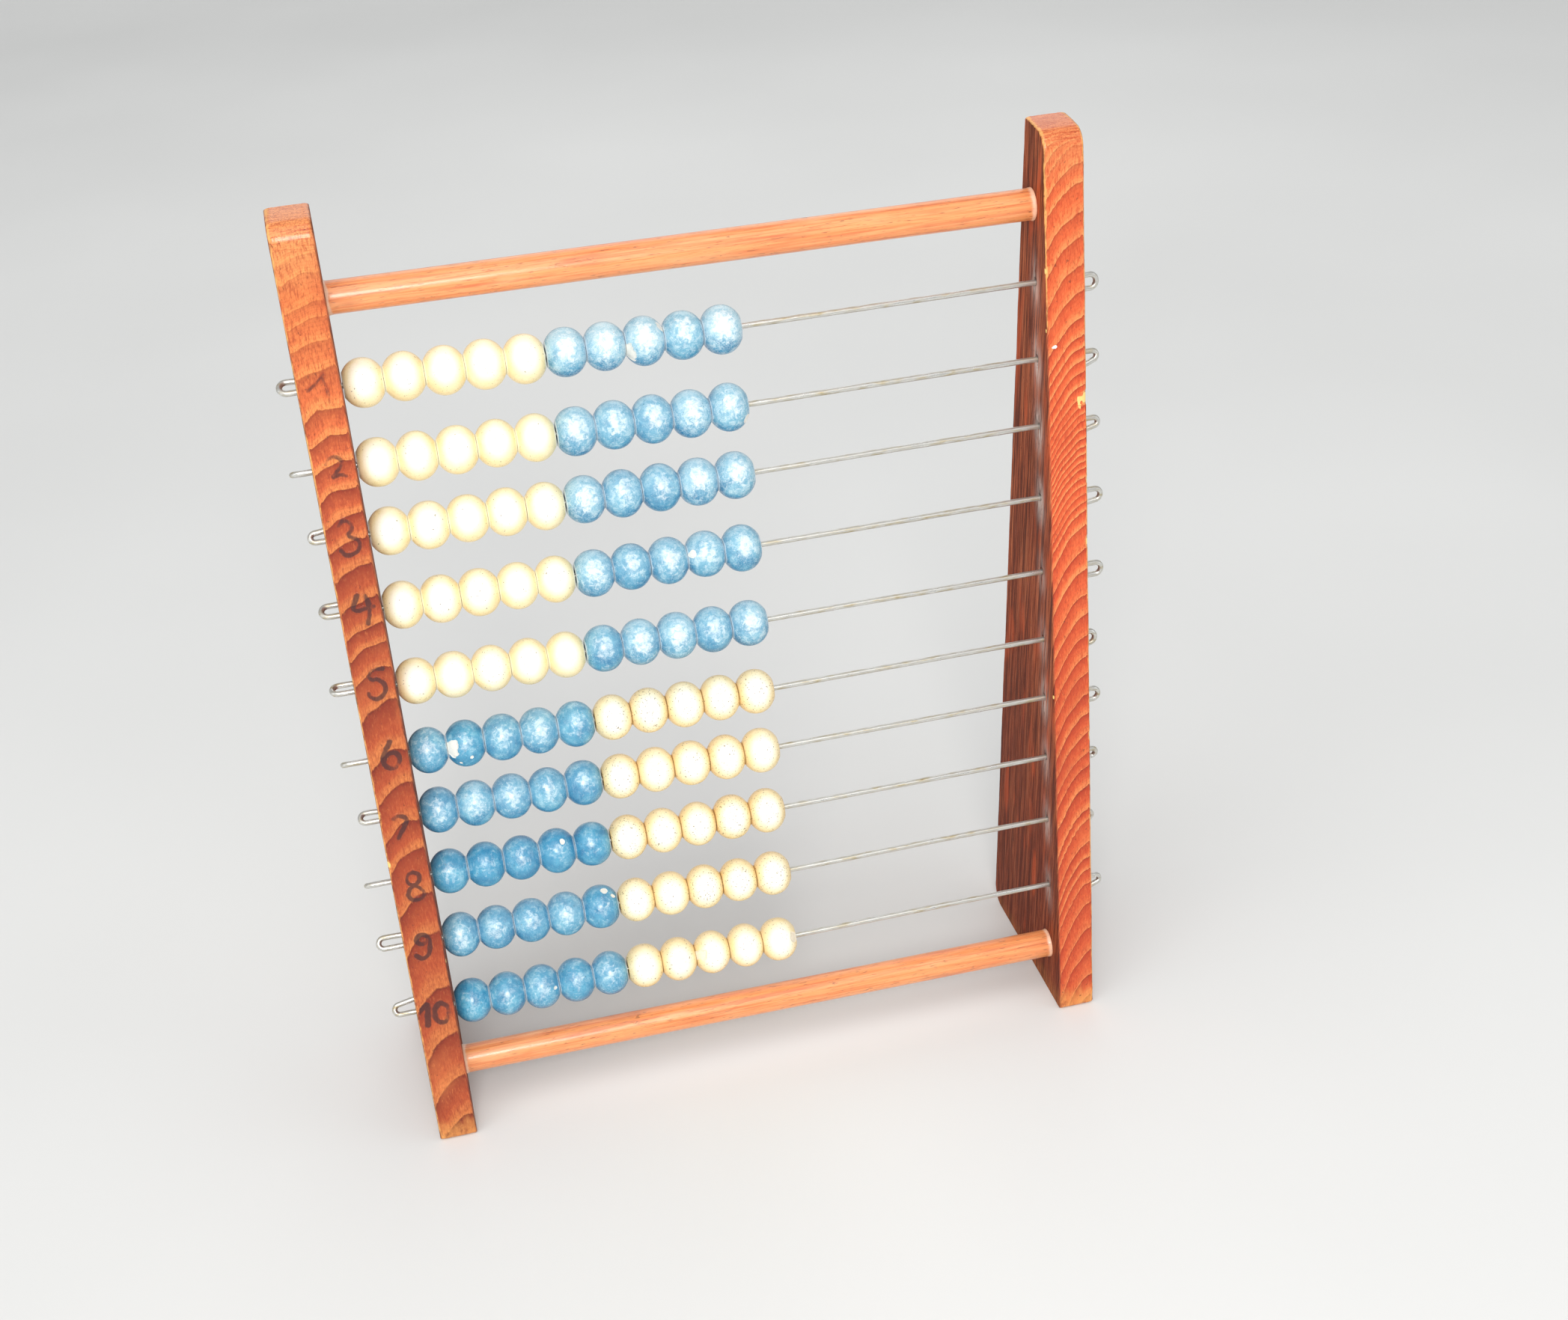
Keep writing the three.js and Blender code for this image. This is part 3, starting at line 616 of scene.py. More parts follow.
def samples(s0, s1, n, dense):
    """n+1 arc lengths from s0 to s1, closer together at both ends and near the dense spots."""
    s = np.linspace(s0, s1, 4000)
    h = np.full_like(s, 1.7)
    h = np.minimum(h, 0.30 + 0.12 * np.maximum(0, np.minimum(s - s0, s1 - s) - 4))
    for c, half in dense:
        h = np.minimum(h, 0.22 + 0.10 * np.maximum(0, np.abs(s - c) - half))
    w = np.concatenate([[0], np.cumsum(((1 / h[1:] + 1 / h[:-1]) / 2) * np.diff(s))])
    if n is None:
        return int(w[-1]) + 1
    return np.interp(np.linspace(0, w[-1], n + 1), w, s)


def make_board(name, side, material):
    OUT_P, OUT_N, OUT_S, OUT_MID = OUTLINES[side]
    TOTAL, HEIGHT, CREST_U = OUT_S[-1], HEIGHTS[side], crest_u(HEIGHTS[side])
    m = OUT_MID
    S = [OUT_S[m[0]], OUT_S[m[1]], OUT_S[m[2]], OUT_S[m[3]], OUT_S[m[0]] + TOTAL]
    # front runs from the brow (top) to the toe (bottom): arc length grows as v falls
    def s_of_v(v):
        sel = np.where((OUT_P[:, 0] < 0.01))[0]
        k = sel[np.argmin(np.abs(OUT_P[sel, 1] - v))]
        return OUT_S[k]
    dense = [(s_of_v(v), half + 1) for _, v, half, _ in CHIPS[side]]
    bottom = (S[0], S[1], []); back = (S[1], S[2], []); top = (S[2], S[3], []); front = (S[3], S[4], dense)
    nv = max(samples(*front[:2], None, front[2]), samples(*back[:2], None, back[2]))
    nu = max(samples(*bottom[:2], None, bottom[2]), samples(*top[:2], None, top[2]))
    sb = samples(S[0], S[1], nu, bottom[2])
    sk = samples(S[1], S[2], nv, back[2])
    st = samples(S[2], S[3], nu, top[2])
    sf = samples(S[3], S[4], nv, front[2])
    arc = np.concatenate([sb[:-1], sk[:-1], st[:-1], sf[:-1]])
    P, N = at_arc(arc, side)
    J = len(arc)
    tau = np.clip((arc - S[2]) / (S[3] + 3.0 - S[2]), 0, 1)
    P = P + N * (0.45 * np.sin(math.pi * tau))[:, None]
    u, v = P[:, 0], P[:, 1]
    # arris sizes, inner side (index 0) and outer side (index 1)
    loop = 2 * math.pi * arc / TOTAL
    sizes = []
    for k in (0, 1):
        seed = 20 + 3 * k + (0 if side > 0 else 50)
        base = 0.62 + 0.20 * wave(seed, arc * 0.11) + 0.10 * wave(seed + 1, arc * 0.5)
        base *= 1 - 0.35 * smooth(3, 0.2, np.abs(v - foot(u)))
        out = np.clip(base, 0.28, 1.0)
        across = out.copy()
        foot_corner = np.exp(-((v + 0.6) / 3.2) ** 2) * np.exp(-(u / 6.0) ** 2)
        across += (2.2 if k == 1 else 0.5) * foot_corner
        brow = np.exp(-((v - HEIGHT) / 6.0) ** 2) * np.exp(-(u / 9.0) ** 2)
        across += 0.5 * brow
        across += (1.5 if k == 1 else 0.9) * np.exp(-((u - CREST_U) / 7.0) ** 2) * smooth(HEIGHT - 8, HEIGHT, v)
        raw = np.zeros(J)
        for which, cv, half, depth in CHIPS[side]:
            if (which > 0) == (k == 1):
                ragged = 1 + 0.35 * wave(int(cv), v * 3.0)
                e = smooth(1.0, 0.55, np.abs(v - cv) / (half * np.clip(ragged, 0.6, 1.5))) * (u < 1.0)
                across += depth * e
                out = np.minimum(out + 0.55 * depth * e, 1.15 if depth > 1.5 else 0.95)
                raw = np.maximum(raw, e * min(1.0, depth / 1.1))
        sizes.append((np.minimum(out, 1.15), across, raw))
    x_in, x_out = -side * THICK / 2, side * THICK / 2      # about the board's own middle
    xc = side * (HALF + THICK / 2)
    rings, wear, rawv = [], [], []
    A = 4
    out0, across0, raw0 = sizes[0]
    out1, across1, raw1 = sizes[1]
    for k in range(A + 1):
        f = k / A * math.pi / 2
        inset = out0 * (1 - math.sin(f))
        x = x_in + side * across0 * (1 - math.cos(f))
        rings.append((inset, x)); wear.append(np.full(J, math.sin(2 * f) * 0.75 + 0.25)); rawv.append(raw0 * smooth(-0.1, 0.5, math.sin(f)))
    columns = [0.035, 0.09, 0.17, 0.30, 0.45, 0.58, 0.68, 0.76, 0.82, 0.87, 0.915, 0.96]
    for f in columns:
        xa, xb = x_in + side * across0, x_out - side * across1
        x = xa + (xb - xa) * f
        crown = 0.07 * np.abs(2 * f - 1) ** 3 + 0.03 * (1 + wave(77 + side, arc * 0.09, np.full(J, f * 2.0))) * 0.5
        inset = np.clip(crown, 0.0, 0.12)
        rings.append((inset, x)); wear.append(np.full(J, 0.22 * max(0.0, 1 - min(f, 1 - f) / 0.10))); rawv.append(np.zeros(J))
    for k in range(A + 1):
        f = (1 - k / A) * math.pi / 2
        inset = out1 * (1 - math.sin(f))
        x = x_out - side * across1 * (1 - math.cos(f))
        rings.append((inset, x)); wear.append(np.full(J, math.sin(2 * f) * 0.75 + 0.25)); rawv.append(raw1 * smooth(-0.1, 0.5, math.sin(f)))
    verts, wa, ra = [], [], []
    for (inset, x), w_, r_ in zip(rings, wear, rawv):
        q = P - N * np.asarray(inset)[:, None]
        xx = np.broadcast_to(x, (J,))
        verts.append(np.column_stack([xx + xc, q]))
        wa.append(w_); ra.append(r_)
    K = len(rings)
    faces = []
    for k in range(K - 1):
        for j in range(J):
            a, b = k * J + j, k * J + (j + 1) % J
            faces.append((a, b, b + J, a + J))
    count = K * J
    allv = [np.vstack(verts)]
    allw, allr = [np.concatenate(wa)], [np.concatenate(ra)]
    # grids over the two flat faces
    xi = ((sb - sb[0]) / (sb[-1] - sb[0]) + (1 - (st - st[0]) / (st[-1] - st[0]))[::-1][::-1]) / 2
    top_frac = 1 - (st[::-1] - st[0]) / (st[-1] - st[0])
    xi = ((sb - sb[0]) / (sb[-1] - sb[0]) + top_frac) / 2
    back_frac = (sk - sk[0]) / (sk[-1] - sk[0])
    front_frac = 1 - (sf[::-1] - sf[0]) / (sf[-1] - sf[0])
    eta = (back_frac + front_frac) / 2
    iB = np.arange(0, nu + 1)
    iK = np.arange(nu, nu + nv + 1)
    iT = np.arange(nu + nv, 2 * nu + nv + 1)[::-1]
    iF = (np.arange(2 * nu + nv, 2 * nu + 2 * nv + 1) % J)[::-1]
    for ring_index in (0, K - 1):
        ring = verts[ring_index]
        B, Kk, T, F = ring[iB], ring[iK], ring[iT], ring[iF]
        XI, ET = np.meshgrid(xi, eta, indexing='ij')
        G = ((1 - ET)[..., None] * B[:, None, :] + ET[..., None] * T[:, None, :]
             + (1 - XI)[..., None] * F[None, :, :] + XI[..., None] * Kk[None, :, :]
             - ((1 - XI) * (1 - ET))[..., None] * B[0] - (XI * (1 - ET))[..., None] * B[-1]
             - ((1 - XI) * ET)[..., None] * T[0] - (XI * ET)[..., None] * T[-1])
        inward = -np.sign(G[0, 0, 0] - xc)
        fade = smooth(0, 0.12, XI) * smooth(1, 0.88, XI) * smooth(0, 0.04, ET) * smooth(1, 0.96, ET)
        G[..., 0] += inward * fade * (0.05 + 0.045 * wave(91 + ring_index + side, G[..., 1] * 0.10, G[..., 2] * 0.035))
        ids = np.full((nu + 1, nv + 1), -1, int)
        base = ring_index * J
        ids[:, 0] = base + iB; ids[:, -1] = base + iT; ids[0, :] = base + iF; ids[-1, :] = base + iK
        inner_ids = count + np.arange((nu - 1) * (nv - 1)).reshape(nu - 1, nv - 1)
        ids[1:-1, 1:-1] = inner_ids
        allv.append(G[1:-1, 1:-1].reshape(-1, 3))
        near = np.minimum.reduce([XI * 40, (1 - XI) * 40, ET * 260, (1 - ET) * 260])[1:-1, 1:-1].ravel()
        allw.append(0.25 * smooth(1.6, 0.2, near)); allr.append(np.zeros(len(near)))
        count += (nu - 1) * (nv - 1)
        for i in range(nu):
            for j in range(nv):
                faces.append((ids[i, j], ids[i + 1, j], ids[i + 1, j + 1], ids[i, j + 1]))
    V = np.vstack(allv)
    W = np.concatenate(allw)
    Rw = np.concatenate(allr)
    # cutters: wire holes, return holes and dowel sockets, in mm about the part frame
    me = bpy.data.meshes.new(name)
    me.from_pydata(V.tolist(), [], faces)
    me.update()
    bm = bmesh.new(); bm.from_mesh(me)
    bmesh.ops.recalc_face_normals(bm, faces=bm.faces)
    bm.to_mesh(me); bm.free()
    tree = KDTree(len(V))
    for i, p in enumerate(V):
        tree.insert(p, i)
    tree.balance()
    cut = bmesh.new()

    def drill(x0, x1, cu, cv, r, segs=24, bell=0.0):
        ringv = []
        for x in (x0, x1):
            ringv.append([cut.verts.new((x, cu + r * math.cos(2 * math.pi * k / segs), cv + r * math.sin(2 * math.pi * k / segs))) for k in range(segs)])
        for k in range(segs):
            cut.faces.new((ringv[0][k], ringv[0][(k + 1) % segs], ringv[1][(k + 1) % segs], ringv[1][k]))
        cut.faces.new(ringv[0][::-1]); cut.faces.new(ringv[1])

    def slot_hole(xo, cu, cv, r, direction, slant, segs=20):
        """Return hole worn oval at its mouth, towards the wire, where a slanted leg slides in."""
        e = np.array([math.sin(direction), math.cos(direction)])
        rings_ = []
        for depth in (-1.0, 3.5, 7.5):
            shift = max(0.0, 3.5 - depth) * math.tan(slant)
            row_ = []
            for k in range(segs):
                q = np.array([math.cos(2 * math.pi * (k + 0.5) / segs), math.sin(2 * math.pi * (k + 0.5) / segs)])
                c = np.array([cu, cv]) + r * q - (e * shift if q @ e < 0 else 0)
                row_.append(cut.verts.new((xo - side * depth, c[0], c[1])))
            rings_.append(row_)
        for ra_, rb_ in zip(rings_, rings_[1:]):
            for k in range(segs):
                cut.faces.new((ra_[k], ra_[(k + 1) % segs], rb_[(k + 1) % segs], rb_[k]))
        cut.faces.new(rings_[0][::-1]); cut.faces.new(rings_[-1])

    xi_, xo_ = side * HALF, side * (HALF + THICK)
    loops = RIGHT_LOOPS if side > 0 else LEFT_LOOPS
    for i, vi in enumerate(ROWS):
        drill(xi_ - side, xo_ + side, WIRE_U, vi + 0.25, 1.12, 20)
        reach, s, d, slant = loops[i]
        a = math.radians(d)
        slot_hole(xo_, WIRE_U + s * math.sin(a), vi + s * math.cos(a), 0.98, a, math.radians(slant))
    for dv in (TOP_DOWEL_V - side * 0.75, BOTTOM_DOWEL_V - side * 0.75):
        drill(xi_ - side, xi_ + side * 6.2, DOWEL_U, dv, DOWEL_R + 0.04, 72)
    bmesh.ops.recalc_face_normals(cut, faces=cut.faces)
    cme = bpy.data.meshes.new(name + "_cut")
    cut.to_mesh(cme); cut.free()
    body_o = bpy.data.objects.new(name + "_tmp", me)
    cut_o = bpy.data.objects.new(name + "_cut", cme)
    for o in (body_o, cut_o):
        bpy.context.scene.collection.objects.link(o)
    mod = body_o.modifiers.new("drill", 'BOOLEAN')
    mod.object = cut_o; mod.operation = 'DIFFERENCE'; mod.solver = 'EXACT'
    bpy.context.view_layer.update()
    deps = bpy.context.evaluated_depsgraph_get()
    res = bpy.data.meshes.new_from_object(body_o.evaluated_get(deps))
    bpy.data.objects.remove(body_o); bpy.data.objects.remove(cut_o)
    co = np.zeros(len(res.vertices) * 3)
    res.vertices.foreach_get("co", co)
    co = co.reshape(-1, 3)
    near = [tree.find(p)[1:] for p in co]
    idx = np.array([a for a, _ in near]); dist = np.array([b for _, b in near])
    keep = dist < 0.4
    attrs = board_attrs(side, co)
    inner_side = smooth(4.0, 2.0, np.abs(co[:, 0] - side * HALF))
    fading = np.where(side > 0, 0.10 + 0.90 * smooth(196, 226, co[:, 2]), 0.40) * inner_side + 0.90 * (1 - inner_side)
    attrs["wear"] = np.where(keep, W[idx], 0.0) * fading
    attrs["raw"] = raw_wood(side, co)
    for k, val in attrs.items():
        at = res.attributes.new(k, 'FLOAT', 'POINT')
        at.data.foreach_set("value", np.asarray(val, np.float32))
    res.vertices.foreach_set("co", to_world(co).ravel())
    res.update()
    res.materials.clear()
    res.materials.append(material[0])
    res.materials.append(material[1])
    local = np.zeros(len(res.polygons) * 3)
    res.polygons.foreach_get("normal", local)
    middles = np.zeros(len(res.polygons) * 3)
    res.polygons.foreach_get("center", middles)
    mx = (middles.reshape(-1, 3)[:, 0] - P3[0]) * 1000
    flat = (np.abs(local.reshape(-1, 3)[:, 0]) > 0.9) & (np.minimum(np.abs(mx - side * HALF), np.abs(mx - side * (HALF + THICK))) < 0.3)
    res.polygons.foreach_set("material_index", flat.astype(np.int32))
    res.polygons.foreach_set("use_smooth", [True] * len(res.polygons))
    res.set_sharp_from_angle(angle=math.radians(38))
    o = bpy.data.objects.new(name, res)
    bpy.context.scene.collection.objects.link(o)
    wn = o.modifiers.new("normals", 'WEIGHTED_NORMAL')
    wn.keep_sharp = True
    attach(o, "frame")
    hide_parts(name)
    o.name = name + "_worn"
    return o


# hairpins: reach beyond the board, leg spacing, direction in degrees (0 up, 90 back, 180 down), slant of the return leg in degrees
LEFT_LOOPS = [(5.0, 3.5, 60, 0), (5.9, 3.4, 112, 0), (4.5, 2.8, 40, 6), (5.4, 3.5, 62, 0), (6.6, 3.5, 80, 0),
              (7.5, 3.4, 118, 0), (5.8, 2.8, 60, 0), (7.6, 3.4, 120, 0), (7.5, 2.9, 40, 0), (6.7, 3.6, 30, 10)]
RIGHT_LOOPS = [(6.7, 3.6, 180, 0), (6.5, 4.0, 195, 20), (6.7, 3.6, 190, 15), (7.4, 3.9, 180, 8), (7.5, 3.6, 175, 0),
               (5.4, 3.6, 180, 0), (6.3, 3.4, 175, 0), (5.4, 2.8, 170, 0), (4.0, 2.8, 170, 0), (6.0, 3.8, 195, 20)]

board_r = make_board("right_side_board", 1, (M_RIGHT, M_RIGHT_FACE))
board_l = make_board("left_side_board", -1, (M_LEFT, M_LEFT_FACE))


# ---------------------------------------------------------------------------
# Numbers, written by hand on the left board's front edge; x in mm from the board's inner face
# ---------------------------------------------------------------------------
NUMBERS = {
    "1": [[(-7.9, 227.4), (-6.0, 228.9), (-4.6, 230.1), (-3.7, 230.9)], [(-4.1, 230.2), (-3.65, 228.1), (-3.4, 226.4), (-3.35, 223.8)]],
    "2": [[(-7.05, 208.4), (-6.1, 209.8), (-4.3, 209.9), (-3.15, 208.6), (-3.7, 207.3), (-4.9, 206.1), (-5.85, 204.95), (-4.3, 205.3), (-2.6, 204.8)]],
    "3": [[(-6.7, 192.1), (-5.9, 193.05), (-4.7, 193.2), (-3.75, 192.0), (-3.85, 190.6), (-4.9, 189.4), (-4.2, 188.5), (-2.9, 187.8), (-2.5, 186.5),
           (-3.1, 185.0), (-4.7, 184.1), (-6.4, 184.3), (-7.3, 185.6)]],
    "4": [[(-5.5, 172.9), (-6.4, 171.0), (-6.95, 169.4), (-6.0, 168.75), (-4.3, 168.9), (-2.0, 169.2)], [(-3.45, 172.5), (-3.05, 169.8), (-3.3, 167.3), (-4.0, 164.8)]],
    "5": [[(-2.5, 151.7), (-4.3, 151.8), (-5.7, 151.2), (-6.3, 150.1), (-5.7, 149.0), (-4.4, 148.9), (-3.05, 147.6), (-2.75, 145.9), (-3.7, 144.1), (-5.4, 143.4), (-6.9, 144.3), (-7.1, 145.4)]],
    "6": [[(-4.3, 130.4), (-5.5, 128.4), (-6.45, 126.5), (-6.7, 124.5), (-5.9, 123.1), (-4.4, 122.6), (-3.05, 123.5), (-2.45, 125.2), (-3.1, 126.85), (-4.35, 127.25), (-5.8, 126.5), (-6.5, 125.5)]],
    "7": [[(-6.9, 107.5), (-5.5, 108.2), (-4.0, 107.5), (-3.5, 106.5), (-4.1, 105.3), (-4.8, 104.2), (-6.5, 101.4)]],
    "8": [[(-4.4, 90.2), (-3.1, 89.2), (-3.2, 87.4), (-4.4, 86.2), (-5.9, 85.4), (-6.7, 83.2), (-5.7, 81.6), (-3.8, 81.6), (-2.4, 82.9), (-3.1, 84.6), (-4.6, 86.0), (-6.0, 86.9), (-6.35, 88.4), (-5.7, 89.9), (-4.4, 90.2)]],
    "9": [[(-3.8, 69.1), (-4.9, 70.1), (-6.4, 69.7), (-6.9, 68.3), (-5.85, 67.15), (-4.3, 67.4), (-3.65, 68.8), (-3.5, 66.2), (-4.3, 63.5), (-6.05, 62.5), (-7.6, 63.7)]],
    "10": [[(-10.0, 44.8), (-8.6, 46.1), (-7.3, 47.2), (-7.65, 43.8), (-8.0, 40.3)],
           [(-3.4, 46.75), (-2.0, 45.3), (-1.95, 42.9), (-3.0, 40.5), (-4.5, 40.5), (-5.55, 42.2), (-5.4, 44.8), (-4.3, 46.45), (-3.4, 46.75)]],
}
WEIGHT = {"1": (0.44, 0.64), "2": (0.56, 0.76), "3": (0.56, 0.86), "4": (0.60, 0.98), "5": (0.58, 0.92), "6": (0.64, 1.0), "7": (0.62, 0.95), "8": (0.56, 0.98), "9": (0.64, 1.0), "10": (0.76, 1.0)}


def curve_points(pts, n=14):
    p = np.array(pts, float)
    q = np.vstack([2 * p[0] - p[1], p, 2 * p[-1] - p[-2]])
    out = []
    for i in range(1, len(q) - 2):
        for k in range(n):
            t = k / n
            out.append(0.5 * (2 * q[i] + (q[i + 1] - q[i - 1]) * t + (2 * q[i - 1] - 5 * q[i] + 4 * q[i + 1] - q[i + 2]) * t ** 2
                              + (3 * q[i] - q[i - 1] - 3 * q[i + 1] + q[i + 2]) * t ** 3))
    out.append(p[-1])
    return np.array(out)


def front_crown(side, x, v):
    """How far the front edge's surface lies behind u = 0."""
    f = (x - side * HALF) / (side * THICK)
    return 0.07 * np.abs(2 * f - 1) ** 3


def plate(name, side, field, x0, x1, v0, v1, cell, limit, key, material, height=0.05):
    """A very thin plate on the front edge, as wide as the field is above limit; its attribute fades out at the rim."""
    xs = np.arange(x0, x1 + cell, cell); vs = np.arange(v0, v1 + cell, cell)
    X, Vv = np.meshgrid(xs, vs, indexing='ij')
    F = field(X, Vv)
    on = F > limit
    cells = on[:-1, :-1] & on[1:, :-1] & on[1:, 1:] & on[:-1, 1:]
    for _ in range(2):      # no cells that touch only at a corner
        a, b, c, d = cells[:-1, :-1], cells[1:, :-1], cells[1:, 1:], cells[:-1, 1:]
        bad = (a & c & ~b & ~d)
        cells[1:, :-1] |= bad
        a, b, c, d = cells[:-1, :-1], cells[1:, :-1], cells[1:, 1:], cells[:-1, 1:]
        bad = (b & d & ~a & ~c)
        cells[:-1, :-1] |= bad
    used = np.zeros_like(on)
    used[:-1, :-1] |= cells; used[1:, :-1] |= cells; used[1:, 1:] |= cells; used[:-1, 1:] |= cells
    ids = np.full(on.shape, -1, int)
    ids[used] = np.arange(used.sum())
    n = int(used.sum())
    if n == 0:
        return None
    base_u = front_crown(side, X[used], Vv[used])
    f = F[used]
    top = np.column_stack([X[used], base_u - 0.004 - height * smooth(limit, 0.9, f), Vv[used]])
    low = np.column_stack([X[used], base_u + 0.10, Vv[used]])
    faces = []
    I, Jn = np.nonzero(cells)
    edges = {}
    for i, j in zip(I, Jn):
        q = (ids[i, j], ids[i + 1, j], ids[i + 1, j + 1], ids[i, j + 1])
        faces.append(q)
        faces.append(tuple(k + n for k in q[::-1]))
        for a, b in zip(q, q[1:] + q[:1]):
            edges[(a, b)] = edges.get((a, b), 0) + 1
    for (a, b) in edges:
        if (b, a) not in edges:
            faces.append((b, a, a + n, b + n))
    V = np.vstack([top, low])
    attrs = {k: np.zeros(2 * n) for k in ("wear", "raw", "smudge", "shade_and_dark_marks", "inner", "ink", "fleck", "calm")}
    attrs[key] = np.concatenate([f, f])
    attrs["rings"] = ring_phase(side, V[:, 0], np.zeros(2 * n), V[:, 2])
    o = mesh_object(name, V, faces, "frame", material, attrs)
    return o


for label, strokes in NUMBERS.items():
    width, strength = WEIGHT[label]
    lines = [curve_points(s) for s in strokes]
    lines = [np.column_stack([l[:, 0] - HALF, l[:, 1]]) for l in lines]
    every = np.vstack(lines)

    def field(X, Vv, every=every, width=width, strength=strength, label=label):
        d = np.full(X.shape, 1e9)
        best = np.zeros(X.shape)
        for i in range(0, len(every)):
            dd = (X - every[i, 0]) ** 2 + (Vv - every[i, 1]) ** 2
            m = dd < d
            d = np.where(m, dd, d)
            best = np.where(m, i / len(every), best)
        d = np.sqrt(d)
        w = width * (1 + 0.22 * wave(len(label) + int(width * 100), X * 1.1, Vv * 1.1))
        press = 0.85 + 0.25 * wave(31 + int(strength * 50), best * 9.0)
        return np.clip(smooth(2.0, 0.35, d / w) * strength * press, 0, 1)
    x0, x1 = every[:, 0].min() - 1.3, min(every[:, 0].max() + 1.3, -HALF - 0.9)
    x0 = max(x0, -HALF - THICK + 0.9)
    plate("number_%s_ink" % label, -1, field, x0, x1, every[:, 1].min() - 1.3, every[:, 1].max() + 1.3, 0.14, 0.03, "ink", M_LEFT, 0.012)


def fleck_field(cx, cv, rx, rv, seed):
    def f(X, Vv):
        d = np.sqrt(((X - cx) / rx) ** 2 + ((Vv - cv) / rv) ** 2) + 0.22 * wave(seed, X * 2.5, Vv * 2.5)
        return smooth(1.05, 0.65, d)
    return f


plate("paint_fleck", 1, fleck_field(HALF + 2.0, 209.6, 0.75, 0.55, 3), HALF + 0.9, HALF + 3.4, 208.6, 210.6, 0.08, 0.1, "fleck", M_RIGHT, 0.10)


# ---------------------------------------------------------------------------
# Dowels
# ---------------------------------------------------------------------------
def make_dowel(name, cv, seed):
    end = HALF + 5.9
    xs = np.concatenate([np.linspace(-end, -HALF - 0.3, 4), -HALF + np.array([0.0, 0.12, 0.3, 0.6, 1.0, 1.6, 2.4, 3.4]),
                         np.linspace(-HALF + 5, HALF - 5, 110), HALF - np.array([3.4, 2.4, 1.6, 1.0, 0.6, 0.3, 0.12, 0.0]), np.linspace(HALF + 0.3, end, 4)])
    n = 72
    th = 2 * math.pi * np.arange(n) / n
    verts, glue = [], []
    for x in xs:
        gap = HALF - abs(x)
        r = DOWEL_R + 0.035 * wave(seed, np.full(n, x * 0.05), np.cos(th) * 1.5, np.sin(th) * 1.5) - 0.02 - 0.02 * np.abs(wave(seed + 1, np.full(n, x * 0.35), th))
        gl = np.zeros(n)
        if gap >= -0.001:
            side = 1 if x > 0 else -1
            span = 1.5 + 0.8 * wave(seed + 7 + side, np.cos(th) * 2.0, np.sin(th) * 2.0)
            gl = smooth(1.0, 0.0, gap / np.clip(span, 0.5, 4))
            r = r + 0.20 * gl ** 2.2
            gl = gl * 0.8 + 0.25 * smooth(4.5, 0.5, gap)
        else:
            r = np.minimum(r, DOWEL_R)
        verts.append(np.column_stack([np.full(n, x), DOWEL_U + r * np.cos(th), cv - DOWEL_SLANT * x + r * np.sin(th)]))
        glue.append(gl)
    V = np.vstack(verts)
    G = np.concatenate(glue)
    faces = []
    for k in range(len(xs) - 1):
        for j in range(n):
            a, b = k * n + j, k * n + (j + 1) % n
            faces.append((a, b, b + n, a + n))
    c0, c1 = len(V), len(V) + 1
    V = np.vstack([V, [(xs[0], DOWEL_U, cv - DOWEL_SLANT * xs[0]), (xs[-1], DOWEL_U, cv - DOWEL_SLANT * xs[-1])]])
    G = np.append(G, [0, 0])
    for j in range(n):
        faces.append((c0, (j + 1) % n, j))
        faces.append((c1, (len(xs) - 1) * n + j, (len(xs) - 1) * n + (j + 1) % n))
    o = mesh_object(name + "_turned", V, faces, "frame", M_DOWEL, {"glue": G}, recalc=True)
    o.data.set_sharp_from_angle(angle=math.radians(50))
    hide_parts(name)
    return o


make_dowel("top_dowel", TOP_DOWEL_V, 4)
make_dowel("bottom_dowel", BOTTOM_DOWEL_V, 9)


# ---------------------------------------------------------------------------
# Wires
# ---------------------------------------------------------------------------
def hairpin(side, loop, v0, seed):
    """Centreline of one end from the board's outer face round to the end of its return leg, as (outward distance, lateral distance)."""
    reach, s, d, slant = loop
    dl = math.radians(slant)
    if slant:
        rb = (s - (reach - WIRE_R) * math.tan(dl)) / (1 + math.cos(dl) - math.tan(dl) + math.sin(dl) * math.tan(dl))
        rb = max(rb, 1.0)
    else:
        rb = s / 2
    lm = reach - WIRE_R - rb
    pts = [(0.0, 0.0), (lm * 0.35, 0.0), (lm * 0.7, 0.0)]
    n = 16
    sweep = math.pi - dl
    for k in range(n + 1):
        a = sweep * k / n
        pts.append((lm + rb * math.sin(a), rb * (1 - math.cos(a))))
    ax, ay = pts[-1]
    for k in (0.33, 0.66, 1.0):
        pts.append((ax * (1 - k), ay + (s - ay) * k))
    pts.append((-2.0, s)); pts.append((-4.0, s))
    r = np.random.default_rng(seed)
    p = np.array(pts)
    bulge = r.uniform(-0.12, 0.16)
    mask = (p[:, 0] > 0.5)
    p[mask, 1] += bulge * np.sin(np.clip(p[mask, 0] / reach, 0, 1) * math.pi) * np.where(p[mask, 1] > s / 2, 1, -0.3)
    a = math.radians(d)
    x = side * (HALF + THICK + p[:, 0])
    return np.column_stack([x, WIRE_U + p[:, 1] * math.sin(a), v0 + p[:, 1] * math.cos(a)])


